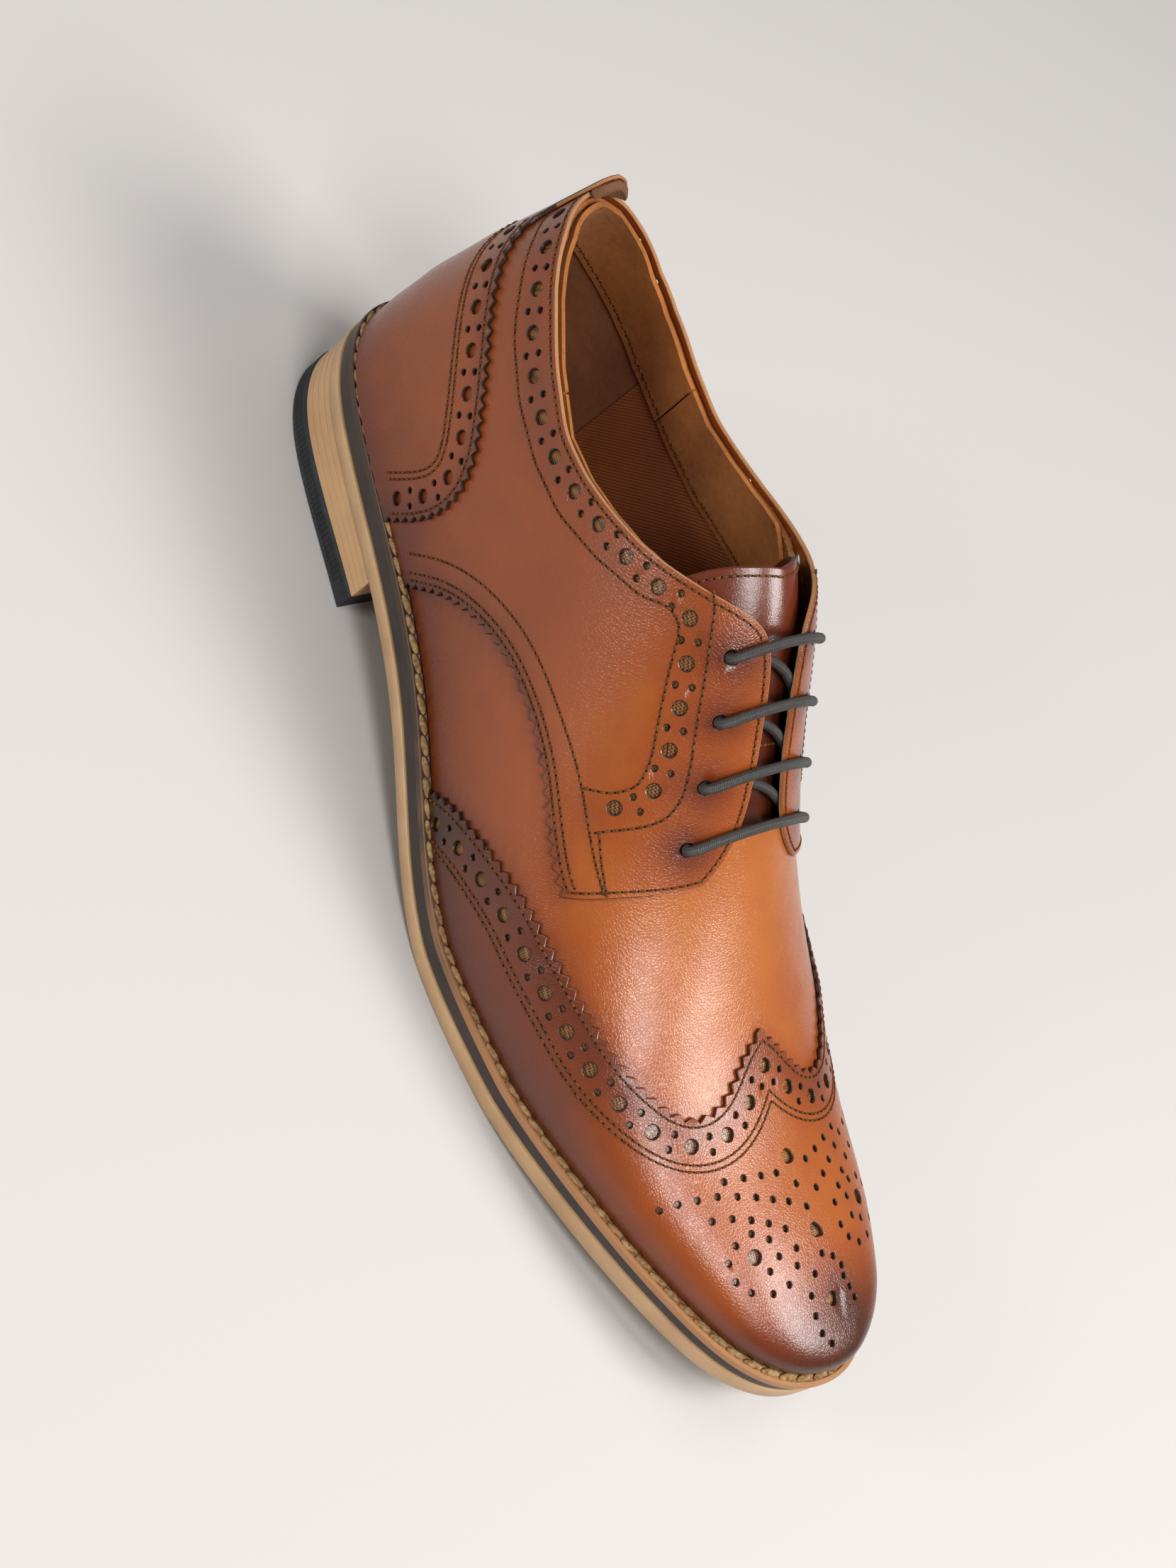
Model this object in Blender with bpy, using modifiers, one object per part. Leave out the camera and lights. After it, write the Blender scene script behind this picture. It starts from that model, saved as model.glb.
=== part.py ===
"""Wingtip derby shoe for the right foot, built on the surface of its last.

Metres, +Z up, +X towards the toe, the outer side of the foot at -Y. The origin is the
middle of the heel's bottom face. Stations along the shoe are shares of the sole's length,
counted from the back of the heel.
"""
import math

import bmesh
import bpy
import numpy as np
from mathutils import Matrix, Vector

MM = 0.001

# Driving sizes of the sole
SOLE_LENGTH = 300 * MM
BALL_WIDTH = 105.5 * MM
HEEL_WIDTH = 66 * MM
TOE_POINT = 9 * MM
OUTSOLE_THICK = 4.3 * MM
MIDSOLE_THICK = 4.3 * MM
WELT_THICK = 2.5 * MM
WELT_BAND = 10 * MM
MIDSOLE_STEP = 0.6 * MM
HEEL_RISE = 19 * MM
TOE_SPRING = 14.5 * MM
TOP_LIFT_THICK = 6.5 * MM
HEEL_LENGTH = 73 * MM
HEEL_STEP = 0.4 * MM
HEEL_CENTRE = HEEL_LENGTH / 2
INSOLE_THICK = 2.5 * MM
INSOLE_SHORT = 10 * MM

# Driving sizes of the upper
WALL = 1.6 * MM
LEATHER = 1.2 * MM
GAP = 0.3 * MM
SKIN_GAP = 0.5 * MM
WELT_SHOWN_HEEL = 2.8 * MM
WELT_SHOWN_BALL = 3.8 * MM
WELT_SHOWN_TOE = 4.8 * MM
INSTEP_HEIGHT = 112 * MM
TOE_HEIGHT = 40.5 * MM
SIDE_HEIGHT = 34 * MM
RIDGE_HALF = 23 * MM
SIDE_FULLNESS = 4 * MM
BACK_HEIGHT = 104 * MM
BACK_LEAN = 8 * MM
FOCUS_SETBACK = 15 * MM
TONGUE_THICK = 1.8 * MM
EYELET_HOLE = 2.2 * MM
LACE_RADIUS = 1.3 * MM

# Sole outline: half widths as shares of the width at the station
OUTLINE = (
    # station, outer, inner
    (0.012, 0.258, 0.205),
    (0.050, 0.409, 0.382),
    (0.120, 0.500, 0.492),
    (0.220, 0.553, 0.470),
    (0.340, 0.489, 0.390),
    (0.460, 0.469, 0.398),
    (0.560, 0.512, 0.488),
    (0.650, 0.498, 0.488),
    (0.740, 0.455, 0.446),
    (0.830, 0.384, 0.393),
    (0.905, 0.299, 0.332),
    (0.960, 0.213, 0.251),
    (0.990, 0.118, 0.152),
)
HEEL_ZONE_END = 0.22
BALL_ZONE_START = 0.46

# Underside of the outsole: heel rows are shares of HEEL_RISE, toe rows of TOE_SPRING
UNDERSIDE = (
    # station, heel, toe
    (0.00, 1.000, 0.000),
    (0.24, 0.790, 0.000),
    (0.36, 0.605, 0.000),
    (0.47, 0.230, 0.000),
    (0.56, 0.000, 0.000),
    (0.69, 0.000, 0.000),
    (0.80, 0.000, 0.330),
    (0.90, 0.000, 0.607),
    (1.00, 0.000, 1.000),
)

# Ridge over the foot: rear rows are shares of INSTEP_HEIGHT, front rows of TOE_HEIGHT
RIDGE = (
    # station, instep, toe
    (0.000, 1.260, 0.000),
    (0.120, 1.260, 0.000),
    (0.250, 1.214, 0.000),
    (0.350, 1.143, 0.000),
    (0.400, 1.080, 0.000),
    (0.450, 1.000, 0.000),
    (0.500, 0.880, 0.000),
    (0.550, 0.754, 0.000),
    (0.600, 0.634, 0.000),
    (0.670, 0.000, 1.395),
    (0.740, 0.000, 1.136),
    (0.810, 0.000, 1.000),
    (0.880, 0.000, 0.955),
    (0.935, 0.000, 0.880),
)

# Cross sections: rise of the side, half width of the ridge, fullness above the welt
SECTIONS = (
    # station, side of SIDE_HEIGHT, ridge of RIDGE_HALF, fullness of SIDE_FULLNESS
    (0.05, 1.000, 1.040, -1.000),
    (0.25, 1.200, 1.000, 0.875),
    (0.42, 1.000, 1.000, 1.020),
    (0.55, 0.790, 0.890, 1.120),
    (0.70, 0.810, 1.000, 1.150),
    (0.85, 0.780, 0.980, 0.950),
    (1.00, 0.950, 0.450, 0.850),
)

# Forward lean of the heel's back: shares of BACK_HEIGHT and of BACK_LEAN
BACK_CURVE = (
    # height, lean
    (0.27, 0.250),
    (0.38, 0.040),
    (0.53, 0.000),
    (0.72, 0.375),
    (0.91, 1.000),
    (1.15, 1.750),
)
BACK_LEAN_REACH = 60 * MM

# Top line: share of the way round from heel to toe, and height up the section.
# It runs from the back of the collar over the top of the facing to the facing's end.
TOP_LINE = (
    # around, outer, inner
    (0.000, 0.555, 0.555),
    (0.050, 0.560, 0.540),
    (0.100, 0.550, 0.497),
    (0.125, 0.530, 0.467),
    (0.160, 0.505, 0.445),
    (0.210, 0.475, 0.440),
    (0.260, 0.463, 0.455),
    (0.295, 0.487, 0.492),
    (0.325, 0.525, 0.537),
    (0.355, 0.577, 0.600),
    (0.380, 0.640, 0.672),
    (0.405, 0.722, 0.768),
    (0.425, 0.805, 0.860),
    (0.440, 0.875, 0.935),
    (0.453, 0.903, 0.962),
    (0.480, 0.912, 0.970),
    (0.520, 0.905, 0.965),
    (0.545, 0.888, 0.945),
    (0.562, 0.860, 0.910),
    (0.574, 0.815, 0.850),
    (0.582, 0.760, 0.770),
)

# Lower edge of each quarter, from the welt round to the end of the facing
QUARTER_EDGE = (
    # around, height
    (0.283, 0.000),
    (0.300, 0.080),
    (0.316, 0.135),
    (0.334, 0.180),
    (0.351, 0.215),
    (0.370, 0.250),
    (0.390, 0.280),
    (0.425, 0.320),
    (0.463, 0.350),
    (0.500, 0.362),
    (0.532, 0.368),
    (0.550, 0.378),
    (0.558, 0.430),
    (0.566, 0.510),
    (0.574, 0.600),
    (0.580, 0.690),
    (0.582, 0.760),
)

# Rear edge of the wing cap: height up the section, and share of the way round
WING_EDGE = (
    # height, around
    (0.00, 0.428),
    (0.09, 0.448),
    (0.18, 0.480),
    (0.24, 0.508),
    (0.29, 0.534),
    (0.32, 0.564),
    (0.35, 0.598),
    (0.38, 0.627),
    (0.42, 0.666),
    (0.47, 0.685),
    (0.54, 0.706),
    (0.60, 0.720),
    (0.66, 0.726),
    (0.73, 0.727),
    (0.80, 0.722),
    (0.86, 0.710),
    (0.92, 0.697),
    (1.00, 0.690),
)

# Edge of the heel counter, from its foot forward and over to the pull tab
COUNTER_EDGE = (
    # around, height
    (0.232, 0.00),
    (0.249, 0.09),
    (0.257, 0.15),
    (0.257, 0.20),
    (0.251, 0.24),
    (0.235, 0.28),
    (0.205, 0.32),
    (0.167, 0.36),
    (0.122, 0.40),
    (0.083, 0.43),
    (0.058, 0.46),
    (0.046, 0.51),
    (0.040, 0.60),
)

# Eyelets, from the top: share of the way round, and height on each side
EYELETS = (
    # around, outer, inner
    (0.451, 0.785, 0.865),
    (0.486, 0.770, 0.845),
    (0.522, 0.745, 0.805),
    (0.556, 0.705, 0.755),
)
# Places in the same shares: the wall stops below the eyelets and the lace's run under
# them, and the vamp closes over the tongue ahead of the lowest eyelets
WALL_UNDER_FACING = 0.640
THROAT = ((0.562, 0.640), (0.576, 0.740), (0.578, 0.850), (0.574, 1.000))
TONGUE_TOP, TONGUE_ROOT = 0.388, 0.610
TONGUE_SIDE = 0.620
LACE_SHOULDER = 0.022
LACE_RUN = 0.036

COLOURS = {
    "outsole": ((0.62, 0.42, 0.24), 0.55),
    "midsole": ((0.03, 0.026, 0.026), 0.60),
    "welt": ((0.24, 0.13, 0.06), 0.60),
    "heel_stack": ((0.58, 0.38, 0.21), 0.55),
    "top_lift": ((0.035, 0.036, 0.040), 0.70),
    "insole": ((0.30, 0.13, 0.05), 0.60),
    "upper": ((0.36, 0.12, 0.035), 0.35),
    "quarter": ((0.30, 0.09, 0.028), 0.35),
    "wing_cap": ((0.27, 0.08, 0.026), 0.32),
    "heel_counter": ((0.24, 0.065, 0.022), 0.32),
    "tongue": ((0.16, 0.030, 0.014), 0.28),
    "lace": ((0.035, 0.033, 0.032), 0.70),
}

OUTER, INNER = -1, 1
SLOPE_STEP = 0.001
MERGE = 0.00001
COLUMNS, ROWS = 60, 10
OVERSHOOT = 0.03

# The leather lies flat before it is lasted: metres for one share round and one share up
FLAT_ROUND, FLAT_HEIGHT = 0.34, 0.10


class Spline:
    """A cubic spline through knots, with free ends or closed on itself."""

    def __init__(self, knots, values, closed=False):
        x, y = np.asarray(knots, float), np.asarray(values, float)
        count, step = len(x), np.diff(x)
        slope = np.diff(y) / step
        matrix, right = np.zeros((count, count)), np.zeros(count)
        for i in range(1, count - 1):
            matrix[i, i - 1:i + 2] = step[i - 1], 2 * (step[i - 1] + step[i]), step[i]
            right[i] = 6 * (slope[i] - slope[i - 1])
        if closed:
            matrix[0, 0], matrix[0, 1] = 2 * (step[0] + step[-1]), step[0]
            matrix[0, count - 2] = step[-1]
            right[0] = 6 * (slope[0] - slope[-1])
            matrix[-1, 0], matrix[-1, -1] = 1, -1
        else:
            matrix[0, 0] = matrix[-1, -1] = 1
        self.x, self.y, self.step = x, y, step
        self.bend = np.linalg.solve(matrix, right)

    def span(self, at):
        i = np.clip(np.searchsorted(self.x, at, side="right") - 1, 0, len(self.step) - 1)
        far = (at - self.x[i]) / self.step[i]
        return i, self.step[i], far, 1 - far

    def __call__(self, at):
        at = np.asarray(at, float)
        i, h, far, near = self.span(at)
        bow = (near ** 3 - near) * self.bend[i] + (far ** 3 - far) * self.bend[i + 1]
        return near * self.y[i] + far * self.y[i + 1] + h * h / 6 * bow

    def slope(self, at):
        at = np.asarray(at, float)
        i, h, far, near = self.span(at)
        bow = (3 * far ** 2 - 1) * self.bend[i + 1] - (3 * near ** 2 - 1) * self.bend[i]
        return (self.y[i + 1] - self.y[i]) / h + h / 6 * bow


def column(table, index, scale=1.0):
    return np.array([row[index] for row in table]) * scale


def ramp(value, low, high):
    share = np.clip((value - low) / (high - low), 0, 1)
    return share * share * (3 - 2 * share)


def outline_splines():
    """Spline round the sole: heel, outer side, toe, inner side, and back to the heel."""
    station = column(OUTLINE, 0)
    width = HEEL_WIDTH + (BALL_WIDTH - HEEL_WIDTH) * np.clip(
        (station - HEEL_ZONE_END) / (BALL_ZONE_START - HEEL_ZONE_END), 0, 1)
    x_side = station * SOLE_LENGTH
    outer, inner = -column(OUTLINE, 1) * width, column(OUTLINE, 2) * width
    xs = np.concatenate([[0], x_side, [SOLE_LENGTH], x_side[::-1], [0]])
    ys = np.concatenate([[0], outer, [TOE_POINT], inner[::-1], [0]])
    along = np.concatenate([[0], np.cumsum(np.hypot(np.diff(xs), np.diff(ys)))])
    toe = along[len(station) + 1]
    return Spline(along, xs, True), Spline(along, ys, True), toe, along[-1]


OUTLINE_X, OUTLINE_Y, TO_TOE, ROUND = outline_splines()
RIDGE_Z = Spline(column(RIDGE, 0, SOLE_LENGTH),
                 column(RIDGE, 1, INSTEP_HEIGHT) + column(RIDGE, 2, TOE_HEIGHT))
UNDER_Z = Spline(column(UNDERSIDE, 0, SOLE_LENGTH),
                 column(UNDERSIDE, 1, HEEL_RISE) + column(UNDERSIDE, 2, TOE_SPRING))
SIDE_RISE = Spline(column(SECTIONS, 0, SOLE_LENGTH), column(SECTIONS, 1, SIDE_HEIGHT))
RIDGE_WIDTH = Spline(column(SECTIONS, 0, SOLE_LENGTH), column(SECTIONS, 2, RIDGE_HALF))
FULLNESS = Spline(column(SECTIONS, 0, SOLE_LENGTH), column(SECTIONS, 3, SIDE_FULLNESS))
WELT_SHOWN = Spline(np.array([0, 0.30, 0.50, 0.70, 0.85, 1.0]) * SOLE_LENGTH, [
    WELT_SHOWN_HEEL, WELT_SHOWN_HEEL, (WELT_SHOWN_HEEL + WELT_SHOWN_BALL) / 2,
    WELT_SHOWN_BALL, (WELT_SHOWN_BALL + WELT_SHOWN_TOE) / 2, WELT_SHOWN_TOE])

LACE_OVER = SKIN_GAP + LEATHER + GAP + LACE_RADIUS
LACE_UNDER = -LACE_RADIUS
TONGUE_DEPTH = 2 * LACE_RADIUS + SKIN_GAP
OVERLAY = (SKIN_GAP, SKIN_GAP + LEATHER)
COUNTER_OVERLAY = (2 * SKIN_GAP + LEATHER, 2 * SKIN_GAP + 2 * LEATHER)
MIDSOLE_LOW = OUTSOLE_THICK + GAP
WELT_LOW = MIDSOLE_LOW + MIDSOLE_THICK + GAP
FEATHER = WELT_LOW + WELT_THICK + GAP


def underside(x):
    """Height of the outsole's underside; it rests flat under the ball of the foot."""
    return np.maximum(UNDER_Z(np.clip(x, 0, SOLE_LENGTH)), 0)


def outline(around, inset=0.0):
    """Point of the sole's outline. around is -1 at the toe by the outer side, 0 at the
    heel and 1 at the toe by the inner side. Also returns the outward direction."""
    around = np.asarray(around, float)
    along = np.where(around < 0, -around * TO_TOE, ROUND - around * (ROUND - TO_TOE))
    dx, dy = OUTLINE_X.slope(along), OUTLINE_Y.slope(along)
    size = np.hypot(dx, dy)
    nx, ny = dy / size, -dx / size
    return OUTLINE_X(along) - nx * inset, OUTLINE_Y(along) - ny * inset, nx, ny


def last_surface(around, height):
    """Point of the upper's outer face. height is 0 at the welt and 1 on the ridge."""
    around, height = np.broadcast_arrays(np.asarray(around, float), np.asarray(height, float))
    share = np.abs(around)
    x, y, _, _ = outline(around)
    shown = WELT_SHOWN(np.clip(x, 0, SOLE_LENGTH))
    x, y, nx, ny = outline(around, shown)
    xo, yo, _, _ = outline(-share, WELT_SHOWN(np.clip(outline(-share)[0], 0, SOLE_LENGTH)))
    xi, yi, _, _ = outline(share, WELT_SHOWN(np.clip(outline(share)[0], 0, SOLE_LENGTH)))
    ridge_x = (xo + xi) / 2 - FOCUS_SETBACK * ramp(share, 0.80, 1.0)
    ridge_z = RIDGE_Z(ridge_x)
    low_z = underside(x) + FEATHER
    heel_round = np.sqrt(np.clip(1 - (1 - np.clip(share / 0.10, 0, 1)) ** 2, 0, 1))
    half = np.hypot(x - ridge_x, y - (yo + yi) / 2)
    flat = np.minimum(RIDGE_WIDTH(x) * heel_round, half * 0.78)
    rise = SIDE_RISE(x) * np.clip((ridge_z - low_z) / (SIDE_HEIGHT * 1.18), 0, 1)
    full = FULLNESS(x)
    forward = np.clip(nx, 0, 1)
    low = np.stack([x, y, low_z], -1)
    side = low + np.stack([nx * full, ny * full, rise], -1)
    top = np.stack([ridge_x, (yo + yi) / 2, ridge_z], -1)
    crown = top + np.stack([forward * flat, ny * flat, forward * flat * RIDGE_Z.slope(ridge_x)], -1)
    t = height[..., None]
    point = ((1 - t) ** 3 * low + 3 * t * (1 - t) ** 2 * side
             + 3 * t ** 2 * (1 - t) * crown + t ** 3 * top)
    reach = np.clip(1 - point[..., 0] / BACK_LEAN_REACH, 0, 1) ** 1.5
    lean = np.interp(point[..., 2], column(BACK_CURVE, 0, BACK_HEIGHT), column(BACK_CURVE, 1, BACK_LEAN))
    point[..., 0] += lean * reach
    return point


def on_last(around, height, offset=0.0):
    """Point at a distance outside the upper's outer face, in the part's frame."""
    around, height = float(around), float(height)
    flank = min(height, 0.97 if abs(around) > 0.96 else 0.9995)

    def normal(at):
        turn = [at - SLOPE_STEP, at + SLOPE_STEP]
        turn = [t - 2 * math.copysign(1, t) if abs(t) > 1 else t for t in turn]
        across = last_surface(turn[1], flank) - last_surface(turn[0], flank)
        up = last_surface(at, flank + 0.0005) - last_surface(at, flank - 0.0005)
        out = np.cross(up, across)
        return out / np.linalg.norm(out)

    out = normal(around)
    if height > 0.999:
        out = out + normal(-around)
        out = out / np.linalg.norm(out)
    point = last_surface(around, height) + out * offset
    return point - np.array([HEEL_CENTRE, 0, 0])


def table_value(table, index, at):
    return float(np.interp(at, column(table, 0), column(table, index)))


def clear_scene():
    for item in list(bpy.data.objects):
        bpy.data.objects.remove(item, do_unlink=True)


def make_material(name):
    colour, roughness = COLOURS[name]
    material = bpy.data.materials.new(name)
    material.use_nodes = True
    shader = material.node_tree.nodes["Principled BSDF"]
    shader.inputs["Base Color"].default_value = (*colour, 1)
    shader.inputs["Roughness"].default_value = roughness
    return material


def add_object(name, mesh, finish, group):
    item = bpy.data.objects.new(name, mesh)
    if finish:
        item.data.materials.append(bpy.data.materials.get(finish) or make_material(finish))
    else:
        item.hide_render = True
        item.display_type = "WIRE"
    group.objects.link(item)
    return item


def laid_grid(columns, rows, place):
    """A grid primitive whose corners are moved to place(u, v), with u and v from 0 to 1."""
    sheet = bmesh.new()
    bmesh.ops.create_grid(sheet, x_segments=columns, y_segments=rows, size=0.5)
    for vert in sheet.verts:
        vert.co = place(vert.co.x + 0.5, vert.co.y + 0.5)
    bmesh.ops.remove_doubles(sheet, verts=sheet.verts, dist=MERGE)
    bmesh.ops.dissolve_degenerate(sheet, edges=sheet.edges, dist=MERGE)
    sheet.normal_update()
    return sheet


def face_outward(sheet, centre):
    """Turn the whole sheet so that its faces look away from the centre."""
    total = sum(face.normal.dot(face.calc_center_median() - centre) * face.calc_area()
                for face in sheet.faces)
    if total < 0:
        bmesh.ops.reverse_faces(sheet, faces=sheet.faces)


def to_mesh(sheet, name):
    mesh = bpy.data.meshes.new(name)
    sheet.to_mesh(mesh)
    sheet.free()
    mesh.shade_smooth()
    mesh.set_sharp_from_angle(angle=math.radians(40))
    return mesh


def solidify(item, thickness, side):
    wall = item.modifiers.new("wall", "SOLIDIFY")
    wall.thickness = thickness
    wall.offset = side
    wall.use_even_offset = True


def shell(name, finish, group, columns, rows, place, thickness, side):
    """Leather laid over the last: side 1 thickens it outwards, -1 inwards."""
    sheet = laid_grid(columns, rows, place)
    face_outward(sheet, Vector((SOLE_LENGTH / 2 - HEEL_CENTRE, 0, FEATHER)))
    item = add_object(name, to_mesh(sheet, name), finish, group)
    solidify(item, thickness, side)
    return item


def crowded(u, strength, centre=0.0):
    """A share from 0 to 1, moved so that even steps lie closer together near the centre."""
    return u - strength * math.sin(2 * math.pi * (u - centre)) / (2 * math.pi)


def column_line(u):
    """Lines round the last, from -1 to 1, closer together at the heel and the toe."""
    return 2 * u - 1 - 0.45 * math.sin(2 * math.pi * (2 * u - 1)) / (2 * math.pi)


def row_line(v):
    """Lines up the section, closer together where it bends most."""
    return crowded(v, 0.25, 0.5)


def cloth_columns(start, end):
    """Lines round the last, shared by every piece of leather, that cover a stretch of it."""
    lines = [column_line(i / COLUMNS) + lap for lap in (-2, 0) for i in range(COLUMNS)]
    inside = [line for line in lines if start < line < end]
    return [start] + inside + [end]


def flat_cloth(name, start, end, group):
    """The leather before it is cut: a flat sheet over a stretch of the last."""
    lines = cloth_columns(start, end)

    def place(u, v):
        return (lines[round(u * (len(lines) - 1))] * FLAT_ROUND,
                row_line(v) * FLAT_HEIGHT, LEATHER)

    sheet = laid_grid(len(lines) - 1, ROWS, place)
    return thickened(name, None, group, sheet, lambda x: 0)


def flat_pattern(name, corners, group):
    """The shape to be cut out, as an upright block through the sheet."""
    curve = bpy.data.curves.new(name, "CURVE")
    curve.dimensions, curve.fill_mode, curve.extrude = "2D", "BOTH", 2 * LEATHER
    edge = curve.splines.new("POLY")
    edge.use_cyclic_u = True
    edge.points.add(len(corners) - 1)
    for point, (around, height) in zip(edge.points, corners):
        point.co = (around * FLAT_ROUND, height * FLAT_HEIGHT, 0, 1)
    block = bmesh.new()
    block.from_mesh(evaluated(add_object(name + "_curve", curve, None, group)))
    bmesh.ops.remove_doubles(block, verts=block.verts, dist=MERGE)
    bmesh.ops.recalc_face_normals(block, faces=block.faces)
    return add_object(name, to_mesh(block, name), None, group)


def flat_punches(name, holes, radius, group):
    """Round punches for the sheet, as wide as they have to be to end up round."""
    punches = bmesh.new()
    for around, height in holes:
        here = on_last(around, height)
        round_scale = np.linalg.norm(on_last(around + SLOPE_STEP, height) - here) / SLOPE_STEP
        up_scale = np.linalg.norm(on_last(around, height + SLOPE_STEP) - here) / SLOPE_STEP
        size = Vector((FLAT_ROUND / round_scale, FLAT_HEIGHT / up_scale, 1))
        spot = Vector((around * FLAT_ROUND, height * FLAT_HEIGHT, 0))
        bmesh.ops.create_cone(punches, cap_ends=True, segments=12, radius1=radius,
                              radius2=radius, depth=4 * LEATHER,
                              matrix=Matrix.LocRotScale(spot, None, size))
    return add_object(name, to_mesh(punches, name), None, group)


def evaluated(item):
    """The mesh of an object with its modifiers carried out."""
    bpy.context.view_layer.update()
    depsgraph = bpy.context.evaluated_depsgraph_get()
    return bpy.data.meshes.new_from_object(item.evaluated_get(depsgraph))


def lasted_panel(name, finish, groups, corners, offsets, holes=()):
    """Leather cut and punched flat, then laid round the last between two offsets from it.
    Its edges are joined where the two sides meet on the ridge and at the toe."""
    parts, cutters = groups
    inside, outside = offsets
    ends = [around for around, _ in corners]
    cloth = flat_cloth(name + "_cloth", min(ends), max(ends), cutters)
    tools = [("INTERSECT", flat_pattern(name + "_pattern", corners, cutters))]
    if holes:
        punches = flat_punches(name + "_punches", holes, EYELET_HOLE, cutters)
        tools.append(("DIFFERENCE", punches))
    for action, tool in tools:
        cut = cloth.modifiers.new(action.lower(), "BOOLEAN")
        cut.operation, cut.solver, cut.object = action, "EXACT", tool
    panel = bmesh.new()
    panel.from_mesh(evaluated(cloth))
    meeting = [face for face in panel.faces
               if min(vert.co.y for vert in face.verts) > FLAT_HEIGHT - MERGE
               or min(ends) == -1 and min(abs(vert.co.x) for vert in face.verts) > FLAT_ROUND - MERGE]
    bmesh.ops.delete(panel, geom=meeting, context="FACES")
    for vert in panel.verts:
        around = vert.co.x / FLAT_ROUND
        offset = inside + (outside - inside) * vert.co.z / LEATHER
        point = on_last(around if around >= -1 else around + 2, vert.co.y / FLAT_HEIGHT, offset)
        point[2] = max(point[2], underside(point[0] + HEEL_CENTRE) + FEATHER)
        vert.co = point
    bmesh.ops.remove_doubles(panel, verts=panel.verts, dist=MERGE)
    bmesh.ops.triangulate(panel, faces=[face for face in panel.faces if len(face.verts) > 4])
    bmesh.ops.recalc_face_normals(panel, faces=panel.faces)
    return add_object(name, to_mesh(panel, name), finish, parts)


def build_upper(groups):
    def half(side):
        edge = 1 if side == OUTER else 2
        top = [(row[0], min(row[edge], WALL_UNDER_FACING)) for row in TOP_LINE
               if row[0] < THROAT[0][0]]
        top += [*THROAT, (THROAT[-1][0], 1 + OVERSHOOT), (1, 1 + OVERSHOOT)]
        return [(side * around, height) for around, height in top]

    inner, outer = half(INNER), half(OUTER)
    corners = [(-1, -OVERSHOOT), (1, -OVERSHOOT)] + inner[:0:-1] + outer
    lasted_panel("upper", "upper", groups, corners, (-WALL, 0))


def build_quarter(groups, name, side):
    seam = GAP / 2 / TO_TOE
    edge = 1 if side == OUTER else 2
    corners = [(seam, -OVERSHOOT), (QUARTER_EDGE[0][0], -OVERSHOOT), *QUARTER_EDGE]
    corners += [(row[0], row[edge]) for row in reversed(TOP_LINE[1:-1])]
    corners.append((seam, TOP_LINE[0][edge]))
    holes = [(side * row[0], row[edge]) for row in EYELETS]
    lasted_panel(name, "quarter", groups, [(side * a, h) for a, h in corners], OVERLAY, holes)


def build_wing_cap(groups):
    outer = [(-around, height) for height, around in WING_EDGE]
    outer = [(outer[0][0], -OVERSHOOT)] + outer + [(outer[-1][0], 1 + OVERSHOOT)]
    inner = [(-2 - around, height) for around, height in reversed(outer)]
    lasted_panel("wing_cap", "wing_cap", groups, outer + inner, OVERLAY)


def build_heel_counter(groups):
    inner = [(COUNTER_EDGE[0][0], -OVERSHOOT), *COUNTER_EDGE]
    outer = [(-around, height) for around, height in reversed(inner)]
    lasted_panel("heel_counter", "heel_counter", groups, inner + outer, COUNTER_OVERLAY)


def build_tongue(group):
    rise = 1 - TONGUE_SIDE

    def place(u, v):
        climbed = 2 * rise * u
        side = OUTER if climbed <= rise else INNER
        height = TONGUE_SIDE + (climbed if side == OUTER else 2 * rise - climbed)
        share = TONGUE_TOP + (TONGUE_ROOT - TONGUE_TOP) * v
        return on_last(side * share, height, -TONGUE_DEPTH)

    shell("tongue", "tongue", group, 12, 8, place, TONGUE_THICK, -1)


def share_at(x, side):
    """Share of the way round at which one side of the outline passes a station."""
    shares = np.linspace(0, 1, 400)
    return float(np.interp(x, outline(side * shares)[0], shares))


def thickened(name, finish, group, sheet, low):
    """Close a level sheet into a solid whose underside is at low(x) above the floor."""
    if sum(face.normal.z for face in sheet.faces) < 0:
        bmesh.ops.reverse_faces(sheet, faces=sheet.faces)
    top = list(sheet.faces)
    made = bmesh.ops.extrude_face_region(sheet, geom=top, use_keep_orig=True)
    for vert in (item for item in made["geom"] if isinstance(item, bmesh.types.BMVert)):
        vert.co.z = low(vert.co.x + HEEL_CENTRE)
    bmesh.ops.recalc_face_normals(sheet, faces=sheet.faces)
    return add_object(name, to_mesh(sheet, name), finish, group)


def build_plate(name, finish, group, inset, low, high, length=SOLE_LENGTH, columns=60):
    """A layer of the sole or heel, from the back as far as length."""
    ends = share_at(length, OUTER), share_at(length, INNER)

    def place(u, v):
        run = crowded(u, 0.6) if length == SOLE_LENGTH else u ** 1.4
        margin = inset(run) if callable(inset) else inset
        xo, yo, _, _ = outline(OUTER * run * ends[0], margin)
        xi, yi, _, _ = outline(INNER * run * ends[1], margin)
        x, y = xo + (xi - xo) * v, yo + (yi - yo) * v
        return x - HEEL_CENTRE, y, high(x)

    return thickened(name, finish, group, laid_grid(columns, 1, place), low)


def build_welt(group):
    def place(u, v):
        around = 2 * u - 1 - 0.6 * math.sin(2 * math.pi * (2 * u - 1)) / (2 * math.pi)
        x, y, _, _ = outline(around, v * WELT_BAND)
        return x - HEEL_CENTRE, y, underside(x) + WELT_LOW + WELT_THICK

    thickened("welt", "welt", group, laid_grid(84, 1, place), lambda x: underside(x) + WELT_LOW)


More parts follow.
